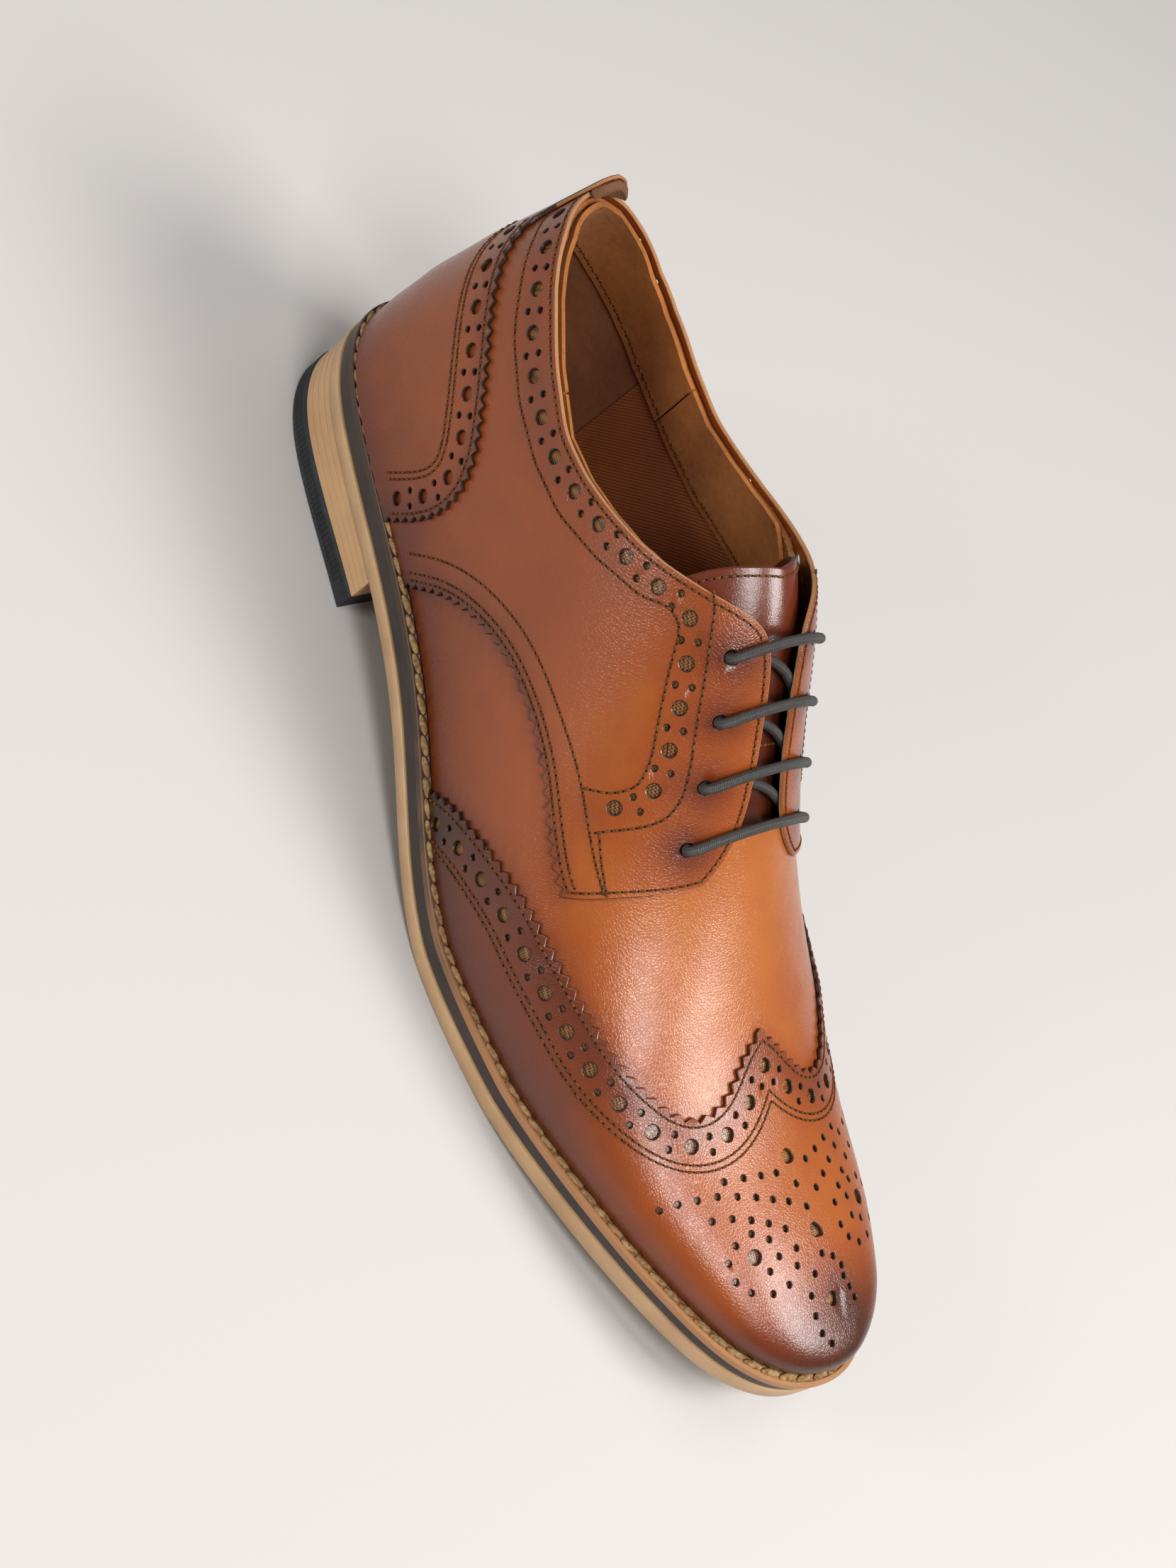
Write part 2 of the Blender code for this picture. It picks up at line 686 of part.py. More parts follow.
def build_sole(group):
    build_plate("outsole", "outsole", group, 0, underside, lambda x: underside(x) + OUTSOLE_THICK)
    build_plate("midsole", "midsole", group, MIDSOLE_STEP, lambda x: underside(x) + MIDSOLE_LOW,
                lambda x: underside(x) + MIDSOLE_LOW + MIDSOLE_THICK)
    build_welt(group)
    build_plate("heel_stack", "heel_stack", group, HEEL_STEP, lambda x: TOP_LIFT_THICK + GAP,
                lambda x: underside(x) - GAP, HEEL_LENGTH, 16)
    build_plate("top_lift", "top_lift", group, 0, lambda x: 0, lambda x: TOP_LIFT_THICK,
                HEEL_LENGTH, 16)
    inside = WELT_SHOWN_TOE + WALL + 3 * GAP
    build_plate("insole", "insole", group, lambda run: inside + INSOLE_SHORT * ramp(run, 0.8, 1),
                lambda x: underside(x) + FEATHER,
                lambda x: underside(x) + FEATHER + INSOLE_THICK)


def lace_route():
    """Points of the lace. From under the top inner eyelet it goes over each pair from the
    inner side to the outer one, down through the facing and under it to the next inner
    eyelet, and from the last outer eyelet it runs back up beneath the outer facing."""
    def across(start, end, offset, count):
        """Points between two places, each given as around and height, over the ridge."""
        rise = [1 - start[1], 1 - end[1]]
        points = []
        for step in range(count + 1):
            share = step / count
            climbed = share * (rise[0] + rise[1])
            first = climbed <= rise[0]
            height = start[1] + climbed if first else 1 - (climbed - rise[0])
            round_share = abs(start[0]) + (abs(end[0]) - abs(start[0])) * share
            side = start[0] if first else end[0]
            points.append(on_last(math.copysign(round_share, side), height, offset))
        return points

    top = EYELETS[0]
    points = [on_last(INNER * top[0], top[2] - LACE_RUN, LACE_UNDER)]
    for row, (share, outer, inner) in enumerate(EYELETS):
        points.append(on_last(INNER * share, inner, -GAP))
        points.append(on_last(INNER * share, inner, LACE_OVER - LEATHER))
        points += across((INNER * share, inner + LACE_SHOULDER),
                         (OUTER * share, outer + LACE_SHOULDER), LACE_OVER, 6)
        points.append(on_last(OUTER * share, outer, LACE_OVER - LEATHER))
        points.append(on_last(OUTER * share, outer, -GAP))
        if row + 1 < len(EYELETS):
            below = EYELETS[row + 1]
            points += across((OUTER * share, outer + LACE_SHOULDER),
                             (INNER * below[0], below[2] + LACE_SHOULDER), LACE_UNDER, 6)
    for share, outer, _ in reversed(EYELETS):
        points.append(on_last(OUTER * share, outer - LACE_RUN, LACE_UNDER))
    return points


def build_lace(group):
    curve = bpy.data.curves.new("lace", "CURVE")
    curve.dimensions = "3D"
    curve.bevel_depth = LACE_RADIUS
    curve.bevel_resolution = 2
    curve.use_fill_caps = True
    points = lace_route()
    spline = curve.splines.new("POLY")
    spline.points.add(len(points) - 1)
    for place, point in zip(spline.points, points):
        place.co = (*point, 1)
    add_object("lace", curve, "lace", group)


def build_shoe():
    clear_scene()
    parts = bpy.data.collections.new("wingtip_derby_shoe")
    cutters = bpy.data.collections.new("cutters")
    for group in (parts, cutters):
        bpy.context.scene.collection.children.link(group)
    build_sole(parts)
    build_upper((parts, cutters))
    build_quarter((parts, cutters), "quarter_outer", OUTER)
    build_quarter((parts, cutters), "quarter_inner", INNER)
    build_wing_cap((parts, cutters))
    build_heel_counter((parts, cutters))
    build_tongue(parts)
    build_lace(parts)


build_shoe()
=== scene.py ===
# %% [markdown]
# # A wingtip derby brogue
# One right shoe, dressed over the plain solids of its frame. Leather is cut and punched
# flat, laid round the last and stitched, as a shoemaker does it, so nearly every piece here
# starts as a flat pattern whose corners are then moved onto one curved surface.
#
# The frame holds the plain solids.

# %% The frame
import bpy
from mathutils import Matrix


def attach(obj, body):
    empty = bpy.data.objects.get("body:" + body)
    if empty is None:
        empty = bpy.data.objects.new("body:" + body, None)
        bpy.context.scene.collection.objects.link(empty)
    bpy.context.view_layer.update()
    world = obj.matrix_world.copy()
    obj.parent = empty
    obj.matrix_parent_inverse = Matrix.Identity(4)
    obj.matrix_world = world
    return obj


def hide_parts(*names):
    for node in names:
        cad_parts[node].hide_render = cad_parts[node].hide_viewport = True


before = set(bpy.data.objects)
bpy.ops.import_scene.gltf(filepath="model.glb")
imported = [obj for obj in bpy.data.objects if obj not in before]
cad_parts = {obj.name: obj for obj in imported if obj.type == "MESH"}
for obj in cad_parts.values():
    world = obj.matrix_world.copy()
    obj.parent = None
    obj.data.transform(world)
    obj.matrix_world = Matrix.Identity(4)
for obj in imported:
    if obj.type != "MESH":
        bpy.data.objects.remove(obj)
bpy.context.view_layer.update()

import math

import bmesh
import bpy
import numpy as np
from mathutils import Matrix, Vector
from mathutils.geometry import delaunay_2d_cdt

MM = 0.001

# %% [markdown]
# ## The last
# A shoe takes its shape from a wooden or plastic last. It could be sculpted, but then every
# seam would have to be drawn on it by eye. Here it is a function: a place is given by the
# share of the way round from heel (0) to toe (1) and the height up the section. Height 0 is
# the welt on the outer side, 1 the ridge over the foot, and 2 the welt on the inner side,
# so the ridge is not an edge and a pattern can lie across it. The tables hold the sizes
# of the solids.

# %% Sizes of the shoe
SOLE_LENGTH, BALL_WIDTH, HEEL_WIDTH = 300 * MM, 105.5 * MM, 66 * MM
TOE_POINT, HEEL_LENGTH = 9 * MM, 73 * MM
OUTSOLE_THICK, MIDSOLE_THICK, WELT_THICK = 4.3 * MM, 4.3 * MM, 2.5 * MM
WELT_BAND, MIDSOLE_STEP, HEEL_STEP = 10 * MM, 0.6 * MM, 0.4 * MM
HEEL_RISE, TOE_SPRING, TOP_LIFT_THICK = 19 * MM, 14.5 * MM, 6.5 * MM
INSOLE_THICK, GAP = 2.5 * MM, 0.3 * MM
WALL, LEATHER = 1.6 * MM, 1.2 * MM
INSTEP_HEIGHT, TOE_HEIGHT, SIDE_HEIGHT = 112 * MM, 40.5 * MM, 34 * MM
RIDGE_HALF, SIDE_FULLNESS = 23 * MM, 4 * MM
BACK_HEIGHT, BACK_LEAN = 104 * MM, 8 * MM
FOCUS_SETBACK = 15 * MM
HEEL_CENTRE = HEEL_LENGTH / 2
WELT_SHOWN_HEEL, WELT_SHOWN_BALL, WELT_SHOWN_TOE = 2.8 * MM, 3.8 * MM, 4.8 * MM

# Sole outline: half widths as shares of the width at the station
OUTLINE = (
    # station, outer, inner
    (0.012, 0.258, 0.205),
    (0.050, 0.409, 0.382),
    (0.120, 0.500, 0.492),
    (0.220, 0.553, 0.470),
    (0.340, 0.489, 0.390),
    (0.460, 0.469, 0.398),
    (0.560, 0.512, 0.488),
    (0.650, 0.498, 0.488),
    (0.740, 0.455, 0.446),
    (0.830, 0.384, 0.393),
    (0.905, 0.299, 0.332),
    (0.960, 0.213, 0.251),
    (0.990, 0.118, 0.152),
)
HEEL_ZONE_END = 0.22
BALL_ZONE_START = 0.46

# Underside of the outsole: heel rows are shares of HEEL_RISE, toe rows of TOE_SPRING
UNDERSIDE = (
    # station, heel, toe
    (0.00, 1.000, 0.000),
    (0.24, 0.790, 0.000),
    (0.36, 0.605, 0.000),
    (0.47, 0.230, 0.000),
    (0.56, 0.000, 0.000),
    (0.69, 0.000, 0.000),
    (0.80, 0.000, 0.330),
    (0.90, 0.000, 0.607),
    (1.00, 0.000, 1.000),
)

# Ridge over the foot: rear rows are shares of INSTEP_HEIGHT, front rows of TOE_HEIGHT
RIDGE = (
    # station, instep, toe
    (0.000, 1.260, 0.000),
    (0.120, 1.260, 0.000),
    (0.250, 1.214, 0.000),
    (0.350, 1.143, 0.000),
    (0.400, 1.080, 0.000),
    (0.450, 1.000, 0.000),
    (0.500, 0.880, 0.000),
    (0.550, 0.754, 0.000),
    (0.600, 0.634, 0.000),
    (0.670, 0.000, 1.395),
    (0.740, 0.000, 1.136),
    (0.810, 0.000, 1.000),
    (0.880, 0.000, 0.955),
    (0.935, 0.000, 0.880),
)

# Cross sections: rise of the side, half width of the ridge, fullness above the welt
SECTIONS = (
    # station, side of SIDE_HEIGHT, ridge of RIDGE_HALF, fullness of SIDE_FULLNESS
    (0.05, 1.000, 1.040, -1.000),
    (0.25, 1.200, 1.000, 0.875),
    (0.42, 1.000, 1.000, 1.020),
    (0.55, 0.790, 0.890, 1.120),
    (0.70, 0.810, 1.000, 1.150),
    (0.85, 0.780, 0.980, 0.950),
    (1.00, 0.950, 0.450, 0.850),
)

# Forward lean of the heel's back: shares of BACK_HEIGHT and of BACK_LEAN
BACK_CURVE = (
    # height, lean
    (0.27, 0.250),
    (0.38, 0.040),
    (0.53, 0.000),
    (0.72, 0.375),
    (0.91, 1.000),
    (1.15, 1.750),
)
BACK_LEAN_REACH = 60 * MM

# Top line: share of the way round from heel to toe, and height up the section.
# It runs from the back of the collar over the top of the facing to the facing's end.
TOP_LINE = (
    # around, outer, inner
    (0.000, 0.555, 0.555),
    (0.050, 0.560, 0.540),
    (0.100, 0.550, 0.497),
    (0.125, 0.530, 0.467),
    (0.160, 0.505, 0.445),
    (0.210, 0.475, 0.440),
    (0.260, 0.463, 0.455),
    (0.295, 0.487, 0.492),
    (0.325, 0.525, 0.537),
    (0.355, 0.577, 0.600),
    (0.380, 0.640, 0.672),
    (0.405, 0.722, 0.768),
    (0.425, 0.805, 0.860),
    (0.440, 0.875, 0.935),
    (0.453, 0.903, 0.962),
    (0.480, 0.912, 0.970),
    (0.520, 0.905, 0.965),
    (0.545, 0.888, 0.945),
    (0.562, 0.860, 0.910),
    (0.574, 0.815, 0.850),
    (0.582, 0.760, 0.770),
)

# Lower edge of each quarter, from the welt round to the end of the facing
QUARTER_EDGE = (
    # around, height
    (0.283, 0.000),
    (0.300, 0.080),
    (0.316, 0.135),
    (0.334, 0.180),
    (0.351, 0.215),
    (0.370, 0.250),
    (0.390, 0.280),
    (0.425, 0.320),
    (0.463, 0.350),
    (0.500, 0.362),
    (0.532, 0.368),
    (0.550, 0.378),
    (0.558, 0.430),
    (0.566, 0.510),
    (0.574, 0.600),
    (0.580, 0.690),
    (0.582, 0.760),
)

# Rear edge of the wing cap: height up the section, and share of the way round
WING_EDGE = (
    # height, around
    (0.00, 0.428),
    (0.09, 0.448),
    (0.18, 0.480),
    (0.24, 0.508),
    (0.29, 0.534),
    (0.32, 0.564),
    (0.35, 0.598),
    (0.38, 0.627),
    (0.42, 0.666),
    (0.47, 0.685),
    (0.54, 0.706),
    (0.60, 0.720),
    (0.66, 0.726),
    (0.73, 0.727),
    (0.80, 0.722),
    (0.86, 0.710),
    (0.92, 0.697),
    (1.00, 0.690),
)

# Edge of the heel counter, from its foot forward and over to the foot of the pull tab
COUNTER_EDGE = (
    # around, height
    (0.232, 0.00),
    (0.249, 0.09),
    (0.257, 0.15),
    (0.257, 0.20),
    (0.251, 0.24),
    (0.235, 0.28),
    (0.205, 0.32),
    (0.167, 0.36),
    (0.122, 0.40),
    (0.083, 0.43),
    (0.058, 0.46),
)

# Eyelets, from the top: share of the way round, and height on each side
EYELETS = (
    # around, outer, inner
    (0.451, 0.785, 0.865),
    (0.486, 0.770, 0.845),
    (0.522, 0.745, 0.805),
    (0.556, 0.705, 0.755),
)
print("length of the sole in mm:", round(SOLE_LENGTH / MM))

# %% [markdown]
# Blender's curves could carry these tables, but a function gives back a height or a slope at
# any place, so the tables become cubic splines.

# %% Splines
class Spline:
    """A cubic spline through knots, with free ends or closed on itself."""

    def __init__(self, knots, values, closed=False):
        x, y = np.asarray(knots, float), np.asarray(values, float)
        count, step = len(x), np.diff(x)
        slope = np.diff(y) / step
        matrix, right = np.zeros((count, count)), np.zeros(count)
        for i in range(1, count - 1):
            matrix[i, i - 1:i + 2] = step[i - 1], 2 * (step[i - 1] + step[i]), step[i]
            right[i] = 6 * (slope[i] - slope[i - 1])
        if closed:
            matrix[0, 0], matrix[0, 1] = 2 * (step[0] + step[-1]), step[0]
            matrix[0, count - 2] = step[-1]
            right[0] = 6 * (slope[0] - slope[-1])
            matrix[-1, 0], matrix[-1, -1] = 1, -1
        else:
            matrix[0, 0] = matrix[-1, -1] = 1
        self.x, self.y, self.step = x, y, step
        self.bend = np.linalg.solve(matrix, right)

    def span(self, at):
        i = np.clip(np.searchsorted(self.x, at, side="right") - 1, 0, len(self.step) - 1)
        far = (at - self.x[i]) / self.step[i]
        return i, self.step[i], far, 1 - far

    def __call__(self, at):
        at = np.asarray(at, float)
        i, h, far, near = self.span(at)
        bow = (near ** 3 - near) * self.bend[i] + (far ** 3 - far) * self.bend[i + 1]
        return near * self.y[i] + far * self.y[i + 1] + h * h / 6 * bow

    def slope(self, at):
        at = np.asarray(at, float)
        i, h, far, near = self.span(at)
        bow = (3 * far ** 2 - 1) * self.bend[i + 1] - (3 * near ** 2 - 1) * self.bend[i]
        return (self.y[i + 1] - self.y[i]) / h + h / 6 * bow


def column(table, index, scale=1.0):
    return np.array([row[index] for row in table]) * scale


def ramp(value, low, high):
    share = np.clip((value - low) / (high - low), 0, 1)
    return share * share * (3 - 2 * share)


print("halfway up a spline over 0, 1 and 4:", round(float(Spline([0, 1, 2], [0, 1, 4])(1.5)), 2))

# %% [markdown]
# The sole's outline is one closed curve, walked from the heel round the toe and back. A
# Bezier circle could be bent to it, but half widths at stations are how a last is measured.

# %% Outline of the sole
def outline_splines():
    """Spline round the sole: heel, outer side, toe, inner side, and back to the heel."""
    station = column(OUTLINE, 0)
    width = HEEL_WIDTH + (BALL_WIDTH - HEEL_WIDTH) * np.clip(
        (station - HEEL_ZONE_END) / (BALL_ZONE_START - HEEL_ZONE_END), 0, 1)
    x_side = station * SOLE_LENGTH
    outer, inner = -column(OUTLINE, 1) * width, column(OUTLINE, 2) * width
    xs = np.concatenate([[0], x_side, [SOLE_LENGTH], x_side[::-1], [0]])
    ys = np.concatenate([[0], outer, [TOE_POINT], inner[::-1], [0]])
    along = np.concatenate([[0], np.cumsum(np.hypot(np.diff(xs), np.diff(ys)))])
    toe = along[len(station) + 1]
    return Spline(along, xs, True), Spline(along, ys, True), toe, along[-1]


OUTLINE_X, OUTLINE_Y, TO_TOE, ROUND = outline_splines()
RIDGE_Z = Spline(column(RIDGE, 0, SOLE_LENGTH),
                 column(RIDGE, 1, INSTEP_HEIGHT) + column(RIDGE, 2, TOE_HEIGHT))
UNDER_Z = Spline(column(UNDERSIDE, 0, SOLE_LENGTH),
                 column(UNDERSIDE, 1, HEEL_RISE) + column(UNDERSIDE, 2, TOE_SPRING))
SIDE_RISE = Spline(column(SECTIONS, 0, SOLE_LENGTH), column(SECTIONS, 1, SIDE_HEIGHT))
RIDGE_WIDTH = Spline(column(SECTIONS, 0, SOLE_LENGTH), column(SECTIONS, 2, RIDGE_HALF))
FULLNESS = Spline(column(SECTIONS, 0, SOLE_LENGTH), column(SECTIONS, 3, SIDE_FULLNESS))
WELT_SHOWN = Spline(np.array([0, 0.30, 0.50, 0.70, 0.85, 1.0]) * SOLE_LENGTH, [
    WELT_SHOWN_HEEL, WELT_SHOWN_HEEL, (WELT_SHOWN_HEEL + WELT_SHOWN_BALL) / 2,
    WELT_SHOWN_BALL, (WELT_SHOWN_BALL + WELT_SHOWN_TOE) / 2, WELT_SHOWN_TOE])

MIDSOLE_LOW = OUTSOLE_THICK + GAP
WELT_LOW = MIDSOLE_LOW + MIDSOLE_THICK + GAP
FEATHER = WELT_LOW + WELT_THICK + GAP


def underside(x):
    """Height of the outsole's underside; it rests flat under the ball of the foot."""
    return np.maximum(UNDER_Z(np.clip(x, 0, SOLE_LENGTH)), 0)


def outline(around, inset=0.0):
    """Point of the sole's outline. around is -1 at the toe by the outer side, 0 at the
    heel and 1 at the toe by the inner side. Also returns the outward direction."""
    around = np.asarray(around, float)
    along = np.where(around < 0, -around * TO_TOE, ROUND - around * (ROUND - TO_TOE))
    dx, dy = OUTLINE_X.slope(along), OUTLINE_Y.slope(along)
    size = np.hypot(dx, dy)
    nx, ny = dy / size, -dx / size
    return OUTLINE_X(along) - nx * inset, OUTLINE_Y(along) - ny * inset, nx, ny


print("way round the sole in mm:", round(float(ROUND) / MM))

# %% [markdown]
# Each section of the last is a cubic Bezier curve from the welt up to the ridge. Its two
# handles set how full the side is and how broad the ridge, and they change along the foot.

# %% Surface of the last
def last_surface(around, height):
    """Point of the upper's outer face. height is 0 at the welt and 1 on the ridge."""
    around, height = np.broadcast_arrays(np.asarray(around, float), np.asarray(height, float))
    share = np.abs(around)
    x, y, _, _ = outline(around)
    shown = WELT_SHOWN(np.clip(x, 0, SOLE_LENGTH))
    x, y, nx, ny = outline(around, shown)
    xo, yo, _, _ = outline(-share, WELT_SHOWN(np.clip(outline(-share)[0], 0, SOLE_LENGTH)))
    xi, yi, _, _ = outline(share, WELT_SHOWN(np.clip(outline(share)[0], 0, SOLE_LENGTH)))
    ridge_x = (xo + xi) / 2 - FOCUS_SETBACK * ramp(share, 0.80, 1.0)
    ridge_z = RIDGE_Z(ridge_x)
    low_z = underside(x) + FEATHER
    heel_round = np.sqrt(np.clip(1 - (1 - np.clip(share / 0.10, 0, 1)) ** 2, 0, 1))
    half = np.hypot(x - ridge_x, y - (yo + yi) / 2)
    flat = np.minimum(RIDGE_WIDTH(x) * heel_round, half * 0.78)
    rise = SIDE_RISE(x) * np.clip((ridge_z - low_z) / (SIDE_HEIGHT * 1.18), 0, 1)
    full = FULLNESS(x)
    forward = np.clip(nx, 0, 1)
    low = np.stack([x, y, low_z], -1)
    side = low + np.stack([nx * full, ny * full, rise], -1)
    top = np.stack([ridge_x, (yo + yi) / 2, ridge_z], -1)
    crown = top + np.stack([forward * flat, ny * flat, forward * flat * RIDGE_Z.slope(ridge_x)], -1)
    t = height[..., None]
    point = ((1 - t) ** 3 * low + 3 * t * (1 - t) ** 2 * side
             + 3 * t ** 2 * (1 - t) * crown + t ** 3 * top)
    reach = np.clip(1 - point[..., 0] / BACK_LEAN_REACH, 0, 1) ** 1.5
    lean = np.interp(point[..., 2], column(BACK_CURVE, 0, BACK_HEIGHT),
                     column(BACK_CURVE, 1, BACK_LEAN))
    point[..., 0] += lean * reach
    return point


print("ridge halfway along in mm:", round(float(last_surface(0.5, 1.0)[2]) / MM, 1))

# %% [markdown]
# ## Places on the shoe
# Every seam, hole and stitch is a place on the last, given by its share round and its
# height. Blender could snap drawn curves to a mesh with Shrinkwrap, but a place that is
# worked out can also be moved sideways by a real distance, which is how one measured edge
# gives all the rows of stitches and holes that run beside it.

# %% From a place to a point
STEP = 0.001


def last_face(share, height):
    inner = height > 1
    around = (np.where(inner, share, -share) + 1) % 2 - 1
    return last_surface(around, np.where(inner, 2 - height, height)) - (HEEL_CENTRE, 0, 0)


def directions(places):
    """At each place: the way round, the way up, and the outward direction."""
    share, height = places[..., 0], places[..., 1]
    onward = (last_face(share + STEP, height) - last_face(share - STEP, height)) / (2 * STEP)
    up = (last_face(share, height + STEP) - last_face(share, height - STEP)) / (2 * STEP)
    out = np.cross(onward, up)
    return onward, up, out / np.linalg.norm(out, axis=-1, keepdims=True)


def on_shoe(places, offset=0.0):
    """Points at a distance outside the last. They never reach below the welt's top."""
    places = np.asarray(places, float)
    offset = np.broadcast_to(np.asarray(offset, float), places.shape[:-1])
    point = last_face(places[..., 0], places[..., 1])
    point = point + directions(places)[2] * offset[..., None]
    floor = underside(point[..., 0] + HEEL_CENTRE) + FEATHER - GAP
    point[..., 2] = np.maximum(point[..., 2], floor)
    return point


print("top of the toe in mm:", np.round(on_shoe([0.9, 1.0]) / MM, 1))

# %% [markdown]
# A stitching machine keeps its distance from an edge with a guide. These functions do the
# same to a path of places: they space it evenly, round it, move it sideways, carry it to
# the other side of the foot, and cut it into teeth.

# %% Walking along a seam
def walk(path, step):
    """The same path with its places an even distance apart."""
    path = np.asarray(path, float)
    fine = np.linspace(0, len(path) - 1, 12 * len(path))
    dense = np.stack([np.interp(fine, np.arange(len(path)), path[:, i]) for i in (0, 1)], -1)
    steps = np.linalg.norm(np.diff(on_shoe(dense), axis=0), axis=1)
    length = np.concatenate([[0], np.cumsum(steps)])
    count = max(2, int(round(length[-1] / step)) + 1)
    marks = np.linspace(0, length[-1], count)
    return np.stack([np.interp(marks, length, dense[:, i]) for i in (0, 1)], -1)


def smooth(path, reach=4 * MM):
    """The path with its small kinks rounded and its ends kept."""
    path = walk(path, MM)
    spread = int(reach / MM)
    weights = np.exp(-0.5 * (np.arange(-3 * spread, 3 * spread + 1) / spread) ** 2)
    span = 3 * spread
    if len(path) <= span + 1:
        return path
    padded = np.concatenate([2 * path[0] - path[span:0:-1], path,
                             2 * path[-1] - path[-2:-span - 2:-1]])
    rounded = np.stack([np.convolve(padded[:, i], weights / weights.sum(), "valid")
                        for i in (0, 1)], -1)
    rounded[0], rounded[-1] = path[0], path[-1]
    return rounded


def aside(path, distance):
    """The path moved sideways over the leather, to the left as seen from outside."""
    onward, up, out = directions(path)
    ahead = np.gradient(on_shoe(path), axis=0)
    left = np.cross(out, ahead / np.linalg.norm(ahead, axis=1, keepdims=True))
    oo, ou, uu = (onward * onward).sum(1), (onward * up).sum(1), (up * up).sum(1)
    lo, lu = (left * onward).sum(1), (left * up).sum(1)
    size = oo * uu - ou * ou
    turn = np.stack([(uu * lo - ou * lu) / size, (oo * lu - ou * lo) / size], -1)
    return path + turn * np.asarray(distance).reshape(-1, 1)


def flipped(path):
    """The same path on the other side of the foot."""
    return np.stack([path[:, 0], 2 - path[:, 1]], -1)


def mirrored(path):
    """The same path on the other side of the foot, walked the other way."""
    return flipped(path)[::-1]


def clipped(path, low=0.0, high=1.0):
    """The stretch of a path between two heights."""
    return path[(path[:, 1] >= low) & (path[:, 1] <= high)]


def pinked(path, depth, tooth=3.6 * MM):
    """A zigzag edge, as a pinking tool cuts it."""
    path = walk(path, tooth / 2)
    cut = np.where(np.arange(len(path)) % 2 == 1, depth, 0.0)
    cut[0] = cut[-1] = 0
    return aside(path, cut)


print("places on a pinked edge:", len(pinked(np.array([(0.3, 0.1), (0.6, 0.1)]), MM)))

# %% [markdown]
# ## Cutting flat, then lasting
# A clicker cuts leather flat, punches its holes flat, and only then is it pulled over the
# last. A Boolean through the curved shoe could make the same holes, but the zigzag edge has
# to follow the surface, and cutting in the flat is exact and quick. A flat pattern is filled
# with even triangles up to its edge and the rims of its holes, laid on the last, and given
# its real thickness with Solidify.

# %% Patterns
FLAT = np.array([0.34, 0.10])  # metres of leather for one share round and one of height
BIG_RIM, SMALL_RIM = 14, 8  # corners round a hole


def within(points, corners):
    """Which flat points lie inside a closed outline."""
    x, y = points[:, :1], points[:, 1:]
    ax, ay = corners[:, 0], corners[:, 1]
    bx, by = np.roll(ax, -1), np.roll(ay, -1)
    crossing = (ay > y) != (by > y)
    rise = np.where(by == ay, 1e-12, by - ay)
    return ((crossing & (x < (bx - ax) * (y - ay) / rise + ax)).sum(1) % 2) == 1


def hole_rims(holes):
    """For each round hole: its rim as places, its centre, radius and local directions."""
    rims = []
    for share, height, radius in holes:
        centre = np.array([share, height])
        onward, up, _ = directions(centre)
        grid = np.array([[onward @ onward, onward @ up], [onward @ up, up @ up]])
        lengths, axes = np.linalg.eigh(grid)
        count = BIG_RIM if radius > 1.2 * MM else SMALL_RIM
        turn = np.arange(count) * 2 * math.pi / count
        circle = np.stack([np.cos(turn), np.sin(turn)], -1) * radius
        rims.append((centre + (circle / np.sqrt(lengths)) @ axes.T, centre, radius, onward, up))
    return rims


def off_centre(places, rim):
    """How far each place lies from the centre of a hole, over the leather."""
    _, centre, _, onward, up = rim
    offset = places - centre
    return np.linalg.norm(offset[:, :1] * onward + offset[:, 1:] * up, axis=1)


def even_grid(corners, border, rims, grain):
    """Places an even distance apart inside an outline, clear of its border and holes."""
    low, high = corners.min(0), corners.max(0)
    counts = np.ceil((high - low) * FLAT / grain).astype(int)
    mesh_x, mesh_y = np.meshgrid(np.linspace(low[0], high[0], counts[0] + 1),
                                 np.linspace(low[1], high[1], counts[1] + 1))
    inner = np.stack([mesh_x.ravel(), mesh_y.ravel()], -1)
    inner = inner[within(inner, corners)]
    clear = np.ones(len(inner), bool)
    for block in np.array_split(np.arange(len(inner)), max(1, len(inner) // 4000 + 1)):
        gap = inner[block][:, None] * FLAT - (border * FLAT)[None]
        clear[block] = (gap ** 2).sum(-1).min(1) > (0.5 * grain) ** 2
    inner = inner[clear]
    for rim in rims:
        inner = inner[off_centre(inner, rim) > rim[2]]
    return inner


def cut_pattern(corners, holes, grain):
    """Places and triangles that fill an outline, without its holes."""
    corners = np.asarray(corners, float)
    rims = hole_rims(holes)
    edges, loops, start = [], [corners] + [rim[0] for rim in rims], 0
    for loop in loops:
        ids = np.arange(start, start + len(loop))
        edges += list(zip(ids.tolist(), np.roll(ids, -1).tolist()))
        start += len(loop)
    border = np.concatenate(loops)
    flat = np.concatenate([border, even_grid(corners, border, rims, grain)]) * FLAT * 1000
    found = delaunay_2d_cdt([Vector(point) for point in flat], edges, [], 0, 1e-4)
    places = np.array([tuple(vert) for vert in found[0]]) / 1000 / FLAT
    triangles = np.array([tuple(face) for face in found[2]])
    middle = places[triangles].mean(1)
    keep = within(middle, corners)
    for rim in rims:
        keep &= off_centre(middle, rim) > rim[2] * 0.985
    triangles = triangles[keep]
    a, b, c = (places[triangles[:, i]] for i in range(3))
    turned = np.cross(b - a, c - a) < 0
    triangles[turned] = triangles[turned][:, ::-1]
    used = np.unique(triangles)
    renumber = np.zeros(len(places), int)
    renumber[used] = np.arange(len(used))
    return places[used], renumber[triangles]


print("triangles in a 20 mm square:", len(cut_pattern(
    np.array([(0, 0), (0.02, 0), (0.02, 0.02), (0, 0.02)]) / FLAT, [], 2 * MM)[1]))
